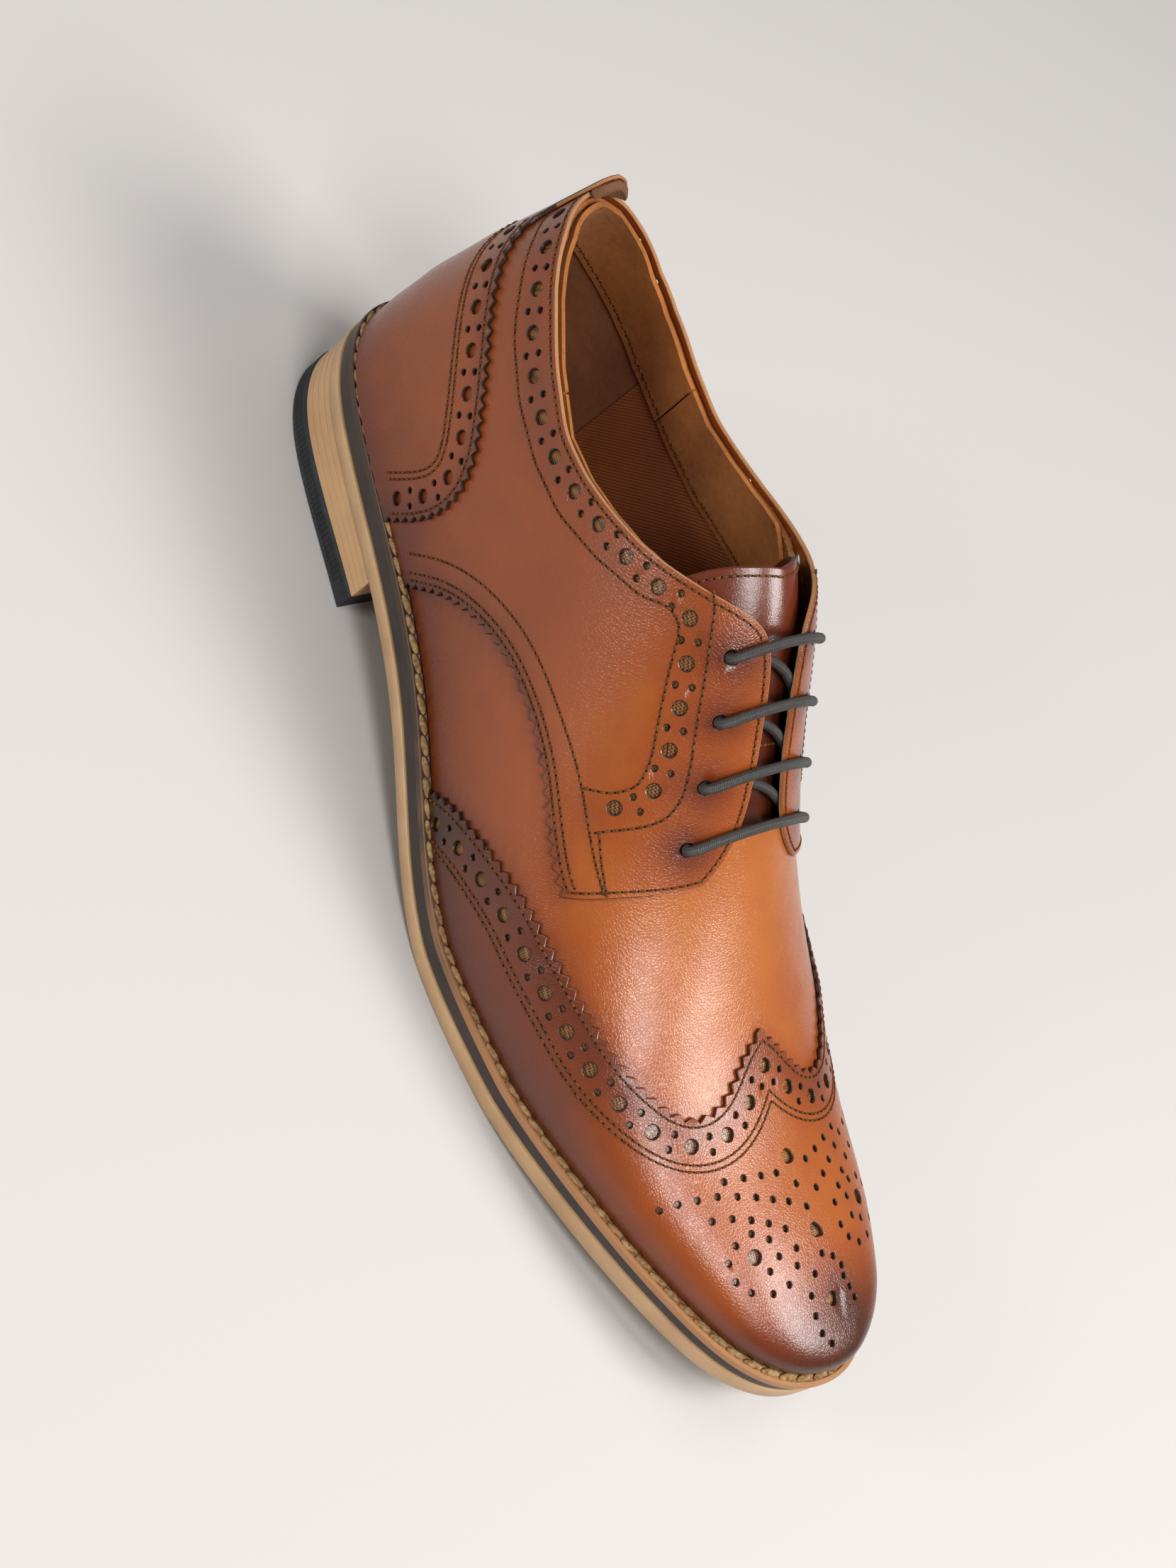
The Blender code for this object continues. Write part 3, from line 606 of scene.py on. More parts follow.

# %% [markdown]
# ## Creases
# A lasted shoe is never quite even: the leather buckles a little where the quarter bends and
# where the vamp flexes. Noise could roughen it all over, but real creases have places, so
# each one is listed as a soft trough with a low ridge on either side.

# %% Creases, listed one by one
CREASES = (
    # share, height, to share, to height, depth, width
    (0.270, 0.350, 0.345, 0.440, 0.35 * MM, 3.5 * MM),
    (0.300, 0.300, 0.370, 0.370, 0.28 * MM, 3.5 * MM),
    (0.190, 0.380, 0.265, 0.360, 0.25 * MM, 3.0 * MM),
    (0.600, 0.560, 0.640, 1.350, 0.22 * MM, 5.0 * MM),
    (0.640, 0.520, 0.668, 1.300, 0.18 * MM, 4.5 * MM),
    (0.572, 0.200, 0.590, 0.420, 0.20 * MM, 4.0 * MM),
    (0.470, 0.060, 0.545, 0.240, 0.20 * MM, 4.0 * MM),
    (0.952, 0.800, 0.957, 1.020, 0.16 * MM, 1.6 * MM),
    (0.965, 0.760, 0.968, 0.960, 0.14 * MM, 1.5 * MM),
)


def creased(places):
    """How far the leather rises above or sinks below the last at each place."""
    points, lift = on_shoe(places), np.zeros(len(places))
    for share, height, to_share, to_height, depth, width in CREASES:
        start, end = on_shoe([(share, height), (to_share, to_height)])
        run = end - start
        along = np.clip((points - start) @ run / (run @ run), 0, 1)
        away = np.linalg.norm(points - start - along[:, None] * run, axis=1)
        taper = np.sqrt(np.clip(4 * along * (1 - along), 0, 1))
        lift += depth * taper * (1.5 * (away / width) ** 2 - 1) * np.exp(-(away / width) ** 2)
    return lift


print("deepest crease in mm:", max(row[4] for row in CREASES) / MM)

# %% [markdown]
# ## Small tools of the bench
# A handful of helpers that every piece uses: make an object active, carry out a modifier,
# add the piece to the shoe. Everything is deselected first, because an operator works on
# all that is selected.

# %% Objects and modifiers
DOUBLES = 0.01 * MM


def pick(item):
    bpy.ops.object.select_all(action="DESELECT")
    item.select_set(True)
    bpy.context.view_layer.objects.active = item


def apply_modifier(item, kind, **settings):
    pick(item)
    tool = item.modifiers.new(kind.lower(), kind)
    for key, value in settings.items():
        setattr(tool, key, value)
    bpy.ops.object.modifier_apply(modifier=tool.name)


def new_piece(name, verts, faces, materials):
    mesh = bpy.data.meshes.new(name)
    mesh.from_pydata(verts.tolist(), [], faces if isinstance(faces, list) else faces.tolist())
    item = bpy.data.objects.new(name, mesh)
    bpy.context.scene.collection.objects.link(item)
    for material in materials:
        mesh.materials.append(material)
    return item


def settle(item, slot, *nodes, angle=38):
    """Smooth the piece, hang it on the shoe and let it stand for its solids."""
    pick(item)
    bpy.ops.object.shade_smooth_by_angle(angle=math.radians(angle))
    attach(item, "root")
    if nodes:
        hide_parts(*nodes)
    print(item.name, "triangles:", sum(len(p.vertices) - 2 for p in item.data.polygons))


def merged(item):
    """Corners that fell together, as along the heel's back, become one."""
    work = bmesh.new()
    work.from_mesh(item.data)
    bmesh.ops.remove_doubles(work, verts=work.verts, dist=DOUBLES)
    bmesh.ops.dissolve_degenerate(work, edges=work.edges, dist=DOUBLES / 2)
    work.to_mesh(item.data)
    work.free()


# %% [markdown]
# A panel of leather is cut flat, laid on the last, then thickened with Solidify, and its
# edge broken with Bevel. Its corners carry two numbers for the finish: how burnished the
# leather is, which on the vamp also holds painted shadow and painted sheen, and where each
# corner lay in the flat cloth.

# %% Leather laid on the last
def closeness(points, paths, reach):
    """1 on the given paths, falling off over a distance."""
    marks = np.concatenate([on_shoe(walk(path, 1.5 * MM)) for path in paths])
    nearest = np.full(len(points), 1e9)
    for block in np.array_split(np.arange(len(points)), len(points) // 2000 + 1):
        gap = points[block][:, None] - marks[None]
        nearest[block] = np.sqrt((gap ** 2).sum(-1).min(1))
    return np.exp(-(nearest / reach) ** 2)


def lasted(name, corners, low, high, grain, materials, holes=(), shade=None, rim=0.22 * MM,
           pale=()):
    """Leather cut from a flat outline, laid on the last and given its thickness. Cut edges
    near a pale path keep the colour of undyed leather, which is the last material."""
    places, triangles = cut_pattern(corners, holes, grain)
    item = new_piece(name, on_shoe(places, high + creased(places)), triangles, materials)
    # The shade number: burnish, and on the vamp also painted shadow beside the seams and a painted
    # sheen on top.
    burnish_and_painted_light = shade(places) if shade else np.zeros(len(places))
    layer = item.data.attributes.new("burnish_and_painted_light", "FLOAT", "POINT")
    layer.data.foreach_set("value", np.clip(burnish_and_painted_light, 0, 2).astype(np.float32))
    sheet = item.data.attributes.new("cloth", "FLOAT_VECTOR", "POINT")
    flat = np.concatenate([places * FLAT, np.zeros((len(places), 1))], 1)
    sheet.data.foreach_set("vector", flat.ravel().astype(np.float32))
    merged(item)
    apply_modifier(item, "SOLIDIFY", thickness=high - low, offset=-1, use_rim=True,
                   material_offset_rim=1)
    if rim:
        apply_modifier(item, "BEVEL", width=rim, segments=1, limit_method="ANGLE",
                       angle_limit=math.radians(50), use_clamp_overlap=False)
    if len(pale):
        faces = item.data.polygons
        marks = np.zeros(len(faces), np.int32)
        faces.foreach_get("material_index", marks)
        centres = np.array([face.center[:] for face in faces])
        undyed = (marks == 1) & (closeness(centres, pale, 2 * MM) > 0.3)
        faces.foreach_set("material_index", np.where(undyed, len(materials) - 1, marks))
    return item


print("closeness right on a seam:", closeness(
    on_shoe([(0.5, 0.5)]), [np.array([(0.4, 0.5), (0.6, 0.5)])], 4 * MM).round(2))

# %% [markdown]
# ## Camera, floor and light
# The camera stands where the photographer stood: above the shoe, on its outer side and a
# little ahead of it, and rolled, so that the toe points down the picture. A tracking
# constraint could aim it, but a turn worked out once leaves nothing live in the scene.

# %% Camera
CAMERA_AT, CAMERA_AIM = Vector((0.2233, -0.4574, 0.4902)), Vector((0.1090, -0.0243, 0.0500))
LENS, ROLL = 59.0, math.radians(58.3)


def place_camera():
    data = bpy.data.cameras.new("camera")
    data.lens = LENS
    data.clip_start, data.clip_end = 0.01, 20
    camera = bpy.data.objects.new("camera", data)
    bpy.context.scene.collection.objects.link(camera)
    camera.location = CAMERA_AT
    look = (CAMERA_AIM - camera.location).to_track_quat("-Z", "Y").to_matrix().to_4x4()
    camera.rotation_mode = "QUATERNION"
    camera.rotation_quaternion = (look @ Matrix.Rotation(ROLL, 4, "Z")).to_quaternion()
    bpy.context.scene.camera = camera


place_camera()
print("camera stands off by mm:", round((CAMERA_AT - CAMERA_AIM).length / MM))

# %% [markdown]
# The floor is a plain pale sheet. A panorama could light the shoe, but polished leather
# shows what it mirrors, so large soft panels stand just where the photograph has its sheen:
# two ahead of the toe, one overhead and one on the outer side. Colours are shown by the
# Standard view transform, which keeps the floor pale and the leather deep.

# %% Floor and lights
FLOOR_COLOUR, DAYLIGHT = (0.500, 0.480, 0.466, 1), (1, 0.985, 0.97)
LIGHTS = (
    # name, place, aim, size, power, colour
    ("window", (0.76, 0.46, 1.14), (0.18, 0, 0.05), 0.60, 17, DAYLIGHT),
    ("front_window", (0.70, -0.52, 1.24), (0.16, 0, 0.06), 0.50, 12, (1, 1, 1)),
    ("ceiling", (-0.10, 0.35, 1.40), (0.1, 0, 0.03), 0.80, 4, (1, 1, 1)),
    ("side", (-0.30, -1.20, 0.45), (0.1, 0, 0.05), 0.40, 6.5, (1, 1, 1)),
)


def soft_light(name, place, aim, size, power, colour):
    data = bpy.data.lights.new(name, "AREA")
    data.shape, data.size, data.energy, data.color = "SQUARE", size, power, colour
    light = bpy.data.objects.new(name, data)
    light.location = place
    light.rotation_euler = (Vector(aim) - Vector(place)).to_track_quat("-Z", "Y").to_euler()
    bpy.context.scene.collection.objects.link(light)


def place_floor():
    bpy.ops.object.select_all(action="DESELECT")
    bpy.ops.mesh.primitive_plane_add(size=12, location=(0, 0, 0))
    floor = bpy.context.object
    floor.name = "floor"
    material = bpy.data.materials.new("floor")
    material.use_nodes = True
    shader = material.node_tree.nodes["Principled BSDF"]
    for key, value in (("Base Color", FLOOR_COLOUR), ("Roughness", 0.9),
                       ("Specular IOR Level", 0.1)):
        shader.inputs[key].default_value = value
    floor.data.materials.append(material)


def light_the_studio():
    world = bpy.data.worlds.new("studio")
    bpy.context.scene.world = world
    world.use_nodes = True
    sky = world.node_tree.nodes["Background"].inputs
    sky["Color"].default_value, sky["Strength"].default_value = (*DAYLIGHT, 1), 0.24
    bpy.context.scene.view_settings.view_transform = "Standard"
    for row in LIGHTS:
        soft_light(*row)


place_floor()
light_the_studio()
print("soft lights:", len(LIGHTS))

# %% [markdown]
# ## Writing shader sums
# A leather's colour is a sum of masks and noises. Each sum could be built node by node, but
# it reads far better as an expression, so a socket is wrapped in a small class whose
# operators add the Math nodes.

# %% Sockets that can be summed
class Wire:
    """The output of a node, which can be used in sums."""

    def __init__(self, tree, socket):
        self.tree, self.socket = tree, socket

    def add(self, kind, inputs, output=0, **settings):
        return add_node(self.tree, kind, inputs, output, **settings)

    def math(self, operation, *values):
        return self.add("ShaderNodeMath", dict(enumerate(values)), operation=operation)

    def __add__(self, other):
        return self.math("ADD", self, other)

    def __sub__(self, other):
        return self.math("SUBTRACT", self, other)

    def __rsub__(self, other):
        return self.math("SUBTRACT", other, self)

    def __mul__(self, other):
        return self.math("MULTIPLY", self, other)

    def __truediv__(self, other):
        return self.math("DIVIDE", self, other)

    def clamped(self):
        return self.add("ShaderNodeClamp", {0: self})

    __radd__, __rmul__ = __add__, __mul__


def add_node(tree, kind, inputs, output=0, stops=None, **settings):
    """Any node, with its settings made first and then its sockets set or linked."""
    node = tree.nodes.new(kind)
    for key, value in settings.items():
        setattr(node, key, value)
    if stops:
        ramp_stops = node.color_ramp.elements
        while len(ramp_stops) < len(stops):
            ramp_stops.new(0.5)
        for stop, (position, colour) in zip(ramp_stops, stops):
            stop.position, stop.color = position, (*colour, 1)
    for key, value in inputs.items():
        socket = node.inputs[key]
        if isinstance(value, Wire):
            tree.links.new(value.socket, socket)
        else:
            socket.default_value = value
    return Wire(tree, node.outputs[output])


def new_finish(name, **constants):
    """A material with its shader's unchanging values set on the sockets themselves."""
    material = bpy.data.materials.new(name)
    material.use_nodes = True
    tree = material.node_tree
    shader = tree.nodes["Principled BSDF"]
    for key, value in constants.items():
        shader.inputs[key.replace("_", " ")].default_value = value
    return material, tree, shader


def feed(tree, shader, **wires):
    for key, wire in wires.items():
        tree.links.new(wire.socket, shader.inputs[key.replace("_", " ")])


def on_object(tree):
    return add_node(tree, "ShaderNodeTexCoord", {}, output=3)


def noise(tree, place, scale, detail=3.0, roughness=0.55):
    return add_node(tree, "ShaderNodeTexNoise",
                    {"Vector": place, "Scale": scale, "Detail": detail, "Roughness": roughness})


def dyed(tree, value, stops):
    """A colour for every value, blended between the stops."""
    return add_node(tree, "ShaderNodeValToRGB", {0: value}, stops=stops)


def relief(tree, strength, height, distance=0.0003):
    """A bump that lifts the surface where the height is large."""
    return add_node(tree, "ShaderNodeBump", {"Strength": strength, "Distance": distance,
                                             "Height": height})


def waves(tree, place, scale, direction, distortion=0.0):
    return add_node(tree, "ShaderNodeTexWave", {"Vector": place, "Scale": scale,
                                                "Distortion": distortion},
                    output=1, bands_direction=direction)


print("helpers for finishes:",
      [tool.__name__ for tool in (add_node, new_finish, feed, noise, dyed, relief, waves)])

# %% [markdown]
# ## Leather
# Calf leather is dyed tan and then burnished: wax and heat turn it nearly black at the toe,
# the heel and along every edge. Its grain is fine, with pores under half a millimetre. An
# image could hold all this, but the darkening follows the seams, so each piece carries a
# number for it on its corners and the material turns that number into colour. On the vamp
# that number also holds painted shadow beside the seams and a painted sheen on top.

# %% Burnished leather
def leather(name, stops, sheen=0.27, grain=0.26, coat=0.12, backed=False):
    material, tree, shader = new_finish(name, Coat_Roughness=0.20, Coat_IOR=1.5, IOR=1.5)
    place = on_object(tree)
    burnish_and_painted_light = add_node(tree, "ShaderNodeAttribute", {}, output=2, attribute_name="burnish_and_painted_light")
    clouds = noise(tree, place, 26, 4)
    streaks = noise(tree, place, 110, 3)
    # Tone from the burnish number, which on the vamp also holds painted shadow and painted sheen,
    # with random clouds and streaks.
    tone = burnish_and_painted_light + (clouds - 0.5) * 0.32 + (streaks - 0.5) * 0.12
    colour = dyed(tree, tone, stops)
    pores = add_node(tree, "ShaderNodeTexVoronoi", {"Vector": place, "Scale": 1300.0},
                     feature="DISTANCE_TO_EDGE")
    fine = noise(tree, place, 900, 3, 0.6)
    wide = noise(tree, place, 260, 3, 0.6)
    height = pores.math("MINIMUM", pores, 0.25) * 1.6 + fine * 0.5 + wide * 0.9
    if backed:
        weave = [waves(tree, place, 520.0, turn) for turn in ("X", "Y", "Z")]
        mesh = dyed(tree, (weave[0] + weave[1] + weave[2]) / 3,
                    [(0.3, (0.050, 0.018, 0.005)), (0.7, (0.290, 0.120, 0.030))])
        covered = ((burnish_and_painted_light - 1.1) * 5).clamped()
        colour = add_node(tree, "ShaderNodeMix", {0: covered, 6: colour, 7: mesh}, output=2,
                          data_type="RGBA")
    bump = relief(tree, grain, height)
    rough = (streaks - 0.5) * 0.16 + (fine - 0.5) * 0.12 + sheen
    feed(tree, shader, Base_Color=colour, Roughness=rough, Normal=bump,
         Coat_Weight=(clouds - 0.5) * 0.3 + coat)
    return material


TAN = [(0.0, (0.420, 0.130, 0.025)), (0.30, (0.270, 0.056, 0.007)), (0.62, (0.130, 0.022, 0.004)),
       (1.0, (0.036, 0.008, 0.003))]
RED_BROWN = [(0.0, (0.170, 0.033, 0.010)), (0.5, (0.078, 0.013, 0.005)),
             (1.0, (0.022, 0.006, 0.003))]
EDGE = [(0.0, (0.050, 0.018, 0.009)), (0.6, (0.022, 0.009, 0.005)), (1.0, (0.010, 0.004, 0.003))]
RAW = [(0.0, (0.500, 0.270, 0.120)), (0.6, (0.290, 0.125, 0.045)), (1.0, (0.120, 0.045, 0.016))]
tan_leather = leather("tan_leather", TAN)
vamp_leather = leather("vamp_leather", TAN, backed=True)
tongue_leather = leather("tongue_leather", RED_BROWN, sheen=0.24, grain=0.12, coat=0.06)
cut_edge = leather("cut_edge", EDGE, sheen=0.5, coat=0.1)
raw_edge = leather("raw_edge", RAW, sheen=0.8, grain=0.6, coat=0.0)
print("leathers:", tan_leather.name, tongue_leather.name, cut_edge.name, raw_edge.name)

# %% [markdown]
# The linings are undyed skins with a soft nap. They could share the calf leather's finish,
# but they are matt and blotched and have no burnish, so a simpler one serves them.

# %% Lining leather
def suede(name, dark, light):
    material, tree, shader = new_finish(name, Roughness=0.92, IOR=1.3, Sheen_Weight=0.06,
                                        Sheen_Roughness=0.5)
    place = on_object(tree)
    tone = noise(tree, place, 38, 4) * 0.75 + noise(tree, place, 700, 2) * 0.25
    colour = dyed(tree, tone, [(0.3, dark), (0.7, light)])
    bump = relief(tree, 0.5, noise(tree, place, 120, 5, 0.7), 0.0006)
    feed(tree, shader, Base_Color=colour, Normal=bump)
    return material


lining_leather = suede("lining_leather", (0.180, 0.055, 0.012), (0.380, 0.135, 0.030))
heel_suede = suede("heel_suede", (0.140, 0.050, 0.018), (0.270, 0.110, 0.042))
print("linings:", lining_leather.name, heel_suede.name)

# %% [markdown]
# ## The seams, as lines on the last
# The edges of the panels are known from the tables. Every other row keeps a fixed distance
# from one of them, as on a stitching machine with a guide, so rows are moved aside and not
# drawn again. Only the strip below the eyelets has a shape of its own.

# %% Edges and rows
WING_HALF = smooth([(around, height) for height, around in WING_EDGE])
QUARTER_FOOT = smooth(QUARTER_EDGE[:12])
FACING_FRONT = smooth(QUARTER_EDGE[11:], 2 * MM)
TOP_OUTER = smooth([(row[0], row[1]) for row in TOP_LINE], 3 * MM)
COUNTER_SIDE = smooth(COUNTER_EDGE, 3 * MM)
TAB_SIDE = smooth([(0.058, 0.460), (0.047, 0.500), (0.040, 0.545), (0.034, 0.580), (0.022, 0.597),
                   (0.000, 0.602)], 2 * MM)
STRIP_EDGE = [(0.405, 0.738), (0.416, 0.744), (0.436, 0.729), (0.459, 0.718), (0.481, 0.709),
              (0.505, 0.703), (0.522, 0.690), (0.532, 0.650), (0.530, 0.585), (0.519, 0.468)]
STRIP_INSIDE = [(0.055, 0.485), (0.088, 0.475), (0.135, 0.440), (0.172, 0.405), (0.219, 0.385),
                (0.266, 0.390), (0.309, 0.420), (0.350, 0.485), (0.389, 0.575), (0.404, 0.640),
                (0.419, 0.663), (0.444, 0.633), (0.467, 0.617), (0.490, 0.606), (0.504, 0.580),
                (0.501, 0.516), (0.488, 0.449)]
STRIP_HOLES = [(0.060, 0.520), (0.100, 0.510), (0.130, 0.485), (0.160, 0.457), (0.189, 0.433),
               (0.219, 0.422), (0.247, 0.422), (0.279, 0.435), (0.310, 0.470), (0.338, 0.510),
               (0.364, 0.555), (0.391, 0.618), (0.413, 0.690), (0.441, 0.675), (0.468, 0.664),
               (0.493, 0.645), (0.515, 0.612), (0.515, 0.560), (0.507, 0.497), (0.501, 0.465)]
CORNER_BOX = [(0.521, 0.487), (0.544, 0.489), (0.564, 0.493)]
BIG_HOLE, SMALL_HOLE, HOLE_SPACING, PAIR_APART = 1.8 * MM, 0.82 * MM, 10.6 * MM, 1.95 * MM


def inner_of(path):
    """A seam of the outer quarter, moved to the inner one, whose top line differs."""
    path = np.asarray(path, float)
    outer = np.interp(path[:, 0], column(TOP_LINE, 0), column(TOP_LINE, 1))
    inner = np.interp(path[:, 0], column(TOP_LINE, 0), column(TOP_LINE, 2))
    share = np.clip(path[:, 1] / outer, 0, 1) ** 2
    return np.stack([path[:, 0], 2 - path[:, 1] - (inner - outer) * share], -1)


def whole_wing(distance):
    half = clipped(aside(WING_HALF, -distance)) if distance else WING_HALF
    half[-1] = (half[-1, 0], 1.0)
    return np.concatenate([half, mirrored(half)[1:]])


print("wing edge on one side in mm:", len(walk(WING_HALF, MM)) - 1)

# %% [markdown]
# Broguing is a row of large holes with a pair of small ones between each two. The holes
# are spaced by the real distance over the leather, and not by the chart's numbers, so the
# punch keeps its rhythm round the bends.

# %% Rows of holes
def row_of_holes(path, start):
    """Large holes in a row, with a pair of small ones between each two."""
    path = walk(path, MM / 2)
    steps = np.linalg.norm(np.diff(on_shoe(path), axis=0), axis=1)
    length = np.concatenate([[0], np.cumsum(steps)])
    marks = np.arange(start, length[-1], HOLE_SPACING)

    def at(row, mark):
        return [np.interp(mark, length, row[:, i]) for i in (0, 1)]

    left, right = aside(path, PAIR_APART), aside(path, -PAIR_APART)
    holes = [(*at(path, mark), BIG_HOLE) for mark in marks]
    for mark in marks[:-1] + HOLE_SPACING / 2:
        holes += [(*at(left, mark), SMALL_HOLE), (*at(right, mark), SMALL_HOLE)]
    return holes


print("holes beside one wing:", len(row_of_holes(WING_HALF, 0)))

# %% [markdown]
# ## Stitches
# A lockstitch shows as a short thread that dips into the leather at both ends. Thousands of
# them are needed, so one small thread is modelled from a sphere, and copied along every row
# into a single mesh.

# %% One stitch, copied along rows
STITCH_SIZE, NEEDLE_SHADE_SIZE = (1.55 * MM, 0.80 * MM, 0.54 * MM), (0.60 * MM, 0.74 * MM, 0.14 * MM)
PITCH, STITCH_LEAN = 1.95 * MM, 0.12


def bead(segments, rings):
    """Corners and faces of a ball one unit across, with its poles along x."""
    bpy.ops.object.select_all(action="DESELECT")
    bpy.ops.mesh.primitive_uv_sphere_add(segments=segments, ring_count=rings, radius=0.5)
    ball = bpy.context.object
    verts = np.array([vert.co[:] for vert in ball.data.vertices])
    faces = [list(face.vertices) for face in ball.data.polygons]
    bpy.data.objects.remove(ball)
    return verts[:, [2, 0, 1]], faces


def beads_along(name, beads, finishes):
    """One mesh of many beads, each as (form, size, material, point, ahead, left, out)."""
    all_verts, all_faces, marks, count = [], [], [], 0
    for (verts, faces), size, mark, point, ahead, left, out in beads:
        local = verts * size
        all_verts.append(point + local[:, :1] * ahead + local[:, 1:2] * left + local[:, 2:] * out)
        all_faces += [[v + count for v in face] for face in faces]
        marks += [mark] * len(faces)
        count += len(verts)
    item = new_piece(name, np.concatenate(all_verts), all_faces, finishes)
    item.data.polygons.foreach_set("material_index", marks)
    settle(item, None, angle=80)


def turned_by(angle, ahead, left):
    return (ahead * math.cos(angle) + left * math.sin(angle),
            left * math.cos(angle) - ahead * math.sin(angle))


def stitched(name, rows, pitch=PITCH):
    """Threads along rows of (path, height above the last), and between them flat near-black
    beads that paint the shade in the needle holes."""
    beads = []
    for path, offset in rows:
        marks = walk(path, pitch / 2)
        points = on_shoe(marks, offset + creased(marks))
        out = directions(marks)[2]
        for i in range(1, len(marks) - 1):
            ahead = points[i + 1] - points[i - 1]
            ahead = ahead / np.linalg.norm(ahead)
            form, size, mark = THREAD if i % 2 else NEEDLE_HOLE_SHADE
            beads.append((form, size, mark, points[i],
                          *turned_by(STITCH_LEAN, ahead, np.cross(out[i], ahead)), out[i]))
    beads_along(name, beads, [seam_thread, needle_hole_shade])


print("length of a stitch in mm:", round(STITCH_SIZE[0] / MM, 2))

# %% [markdown]
# The seams are sewn with brown thread and the welt with a pale waxed one. Both are matt
# and a little uneven. An image would blur so close up, so noise shades them.

# %% Threads
def thread(name, colour, dark):
    material, tree, shader = new_finish(name, Roughness=0.8, IOR=1.25)
    place = on_object(tree)
    mix = noise(tree, place, 700, 2)
    shade = dyed(tree, mix, [(0.3, dark), (0.7, colour)])
    bump = relief(tree, 0.5, noise(tree, place, 2600, 2), 0.0002)
    feed(tree, shader, Base_Color=shade, Normal=bump)
    return material


seam_thread = thread("seam_thread", (0.170, 0.066, 0.018), (0.050, 0.018, 0.005))
# Near-black finish of the flat beads that paint the shade in the needle holes.
needle_hole_shade = thread("needle_hole_shade", (0.012, 0.006, 0.004), (0.006, 0.003, 0.002))
welt_thread = thread("welt_thread", (0.40, 0.250, 0.110), (0.130, 0.062, 0.024))
THREAD, NEEDLE_HOLE_SHADE = (bead(6, 4), STITCH_SIZE, 0), (bead(6, 3), NEEDLE_SHADE_SIZE, 1)
print("corners of one stitch:", len(THREAD[0][0]))

# %% [markdown]
# ## The vamp and the wall
# The upper is one piece of calf leather about a millimetre and a half thick, pulled over
# the last and under it. Only the vamp shows, between the wing cap and the quarters. It is
# cut as one pattern, with the throat left open for the tongue.

# %% Vamp
THROAT_FRONT = [(0.540, 0.640), (0.556, 0.700), (0.562, 0.800), (0.563, 0.900), (0.562, 1.0)]
THROAT_STARTS, LOW_UNDER_FACING, WALL_BELOW = 0.535, 0.640, 0.014
BLACK_BEHIND_HOLES = 2.0  # a burnish so strong that no brown is left


def along(start, end, step=3 * MM):
    start, end = np.array(start, float), np.array(end, float)
    count = max(2, int(np.ceil(np.linalg.norm((end - start) * FLAT) / step)) + 1)
    return np.linspace(start, end, count)


def joined(*paths):
    """One closed outline from several paths, without doubled places."""
    whole = np.concatenate([np.asarray(path, float) for path in paths])
    step = np.linalg.norm((whole - np.roll(whole, 1, 0)) * FLAT, axis=1)
    return whole[step > 0.05 * MM]


def near_welt(places, reach):
    height = np.minimum(places[:, 1], 2 - places[:, 1])
    return np.exp(-np.clip(height, 0, 1) / reach)


print("gap of the throat in mm:", round(float(np.linalg.norm(
    on_shoe((0.540, 0.640)) - on_shoe((0.540, 1.360)))) / MM))

# %% [markdown]
# The vamp is light on top, partly its paler unburnished leather and partly a painted sheen,
# and darker beside the seams, partly stain and partly painted shadow under the edges of the
# cap and the quarters, and above the welt. Behind the holes of the cap and the quarters its
# burnish number goes past 1, which stands for their dark backing.

# %% The vamp's leather
def even_tone(tone):
    return lambda places: np.full(len(places), tone)


def wall_top(side):
    """The wall ends a little below the collar, and well below the eyelets."""
    top = [(row[0], min(row[side] - WALL_BELOW, LOW_UNDER_FACING)) for row in TOP_LINE
           if row[0] < THROAT_STARTS]
    return walk(top + THROAT_FRONT, 3 * MM)


def upper_outline():
    outer_top, inner_top = wall_top(1), wall_top(2)
    return joined(along((0, 0), (1, 0)), along((1, 0), (1, 1)), along((1, 1), (1, 2)),
                  along((1, 2), (0, 2)), along((0, 2), (0, 2 - inner_top[0, 1])),
                  flipped(inner_top), outer_top[::-1], along((0, outer_top[0, 1]), (0, 0)))


def covers():
    """Outlines of what the cap and the quarters hide, where the holes show their backing."""
    cap = whole_wing(3 * MM)
    cap = np.concatenate([cap, [(cap[-1, 0], 2.1), (1.1, 2.1), (1.1, -0.1), (cap[0, 0], -0.1)]])
    foot = clipped(aside(QUARTER_FOOT, 3 * MM))
    front = [(0.538, 0.43), (0.57, 0.66), (0.39, 0.66), (0.0, 0.6), (-0.1, 0.6), (-0.1, -0.1)]
    side = np.concatenate([[(foot[0, 0], -0.1)], foot, front])
    return cap, side, flipped(side)


def vamp_shade(places):
    points = on_shoe(places)
    # Darker right beside the edges of the cap and the quarters: partly stain, partly painted shadow
    # under their overlap.
    seam_shadow_and_stain = closeness(points, [whole_wing(0), QUARTER_FOOT, mirrored(QUARTER_FOOT)], 2.2 * MM)
    # Lighter along the ridge: partly the paler unburnished leather, partly a painted sheen.
    middle = np.exp(-((places[:, 1] - 0.95) / 0.55) ** 2)
    tone = 0.38 - 0.26 * middle + 0.14 * seam_shadow_and_stain + 0.34 * near_welt(places, 0.12)
    for cover in covers():
        tone = np.where(within(places * FLAT, cover * FLAT), BLACK_BEHIND_HOLES, tone)
    return tone


upper = lasted("upper_fine", upper_outline(), -WALL, 0.0, 2.6 * MM,
               [vamp_leather, lining_leather], shade=vamp_shade)
settle(upper, "upper", "upper")

# %% [markdown]
# ## The quarters
# Two quarters wrap the heel and carry the facings. Their lower edge is pinked, a row of
# large holes with pairs of small ones follows the collar and turns down beside the
# eyelets, and each facing has four plain punched eyelets.

# %% Quarters
EYELET_RIM = 1.75 * MM
OVERLAY_GAP = 0.12 * MM
PANEL_TOP, PANEL_GRAIN = OVERLAY_GAP + LEATHER, 2.2 * MM
same = np.asarray


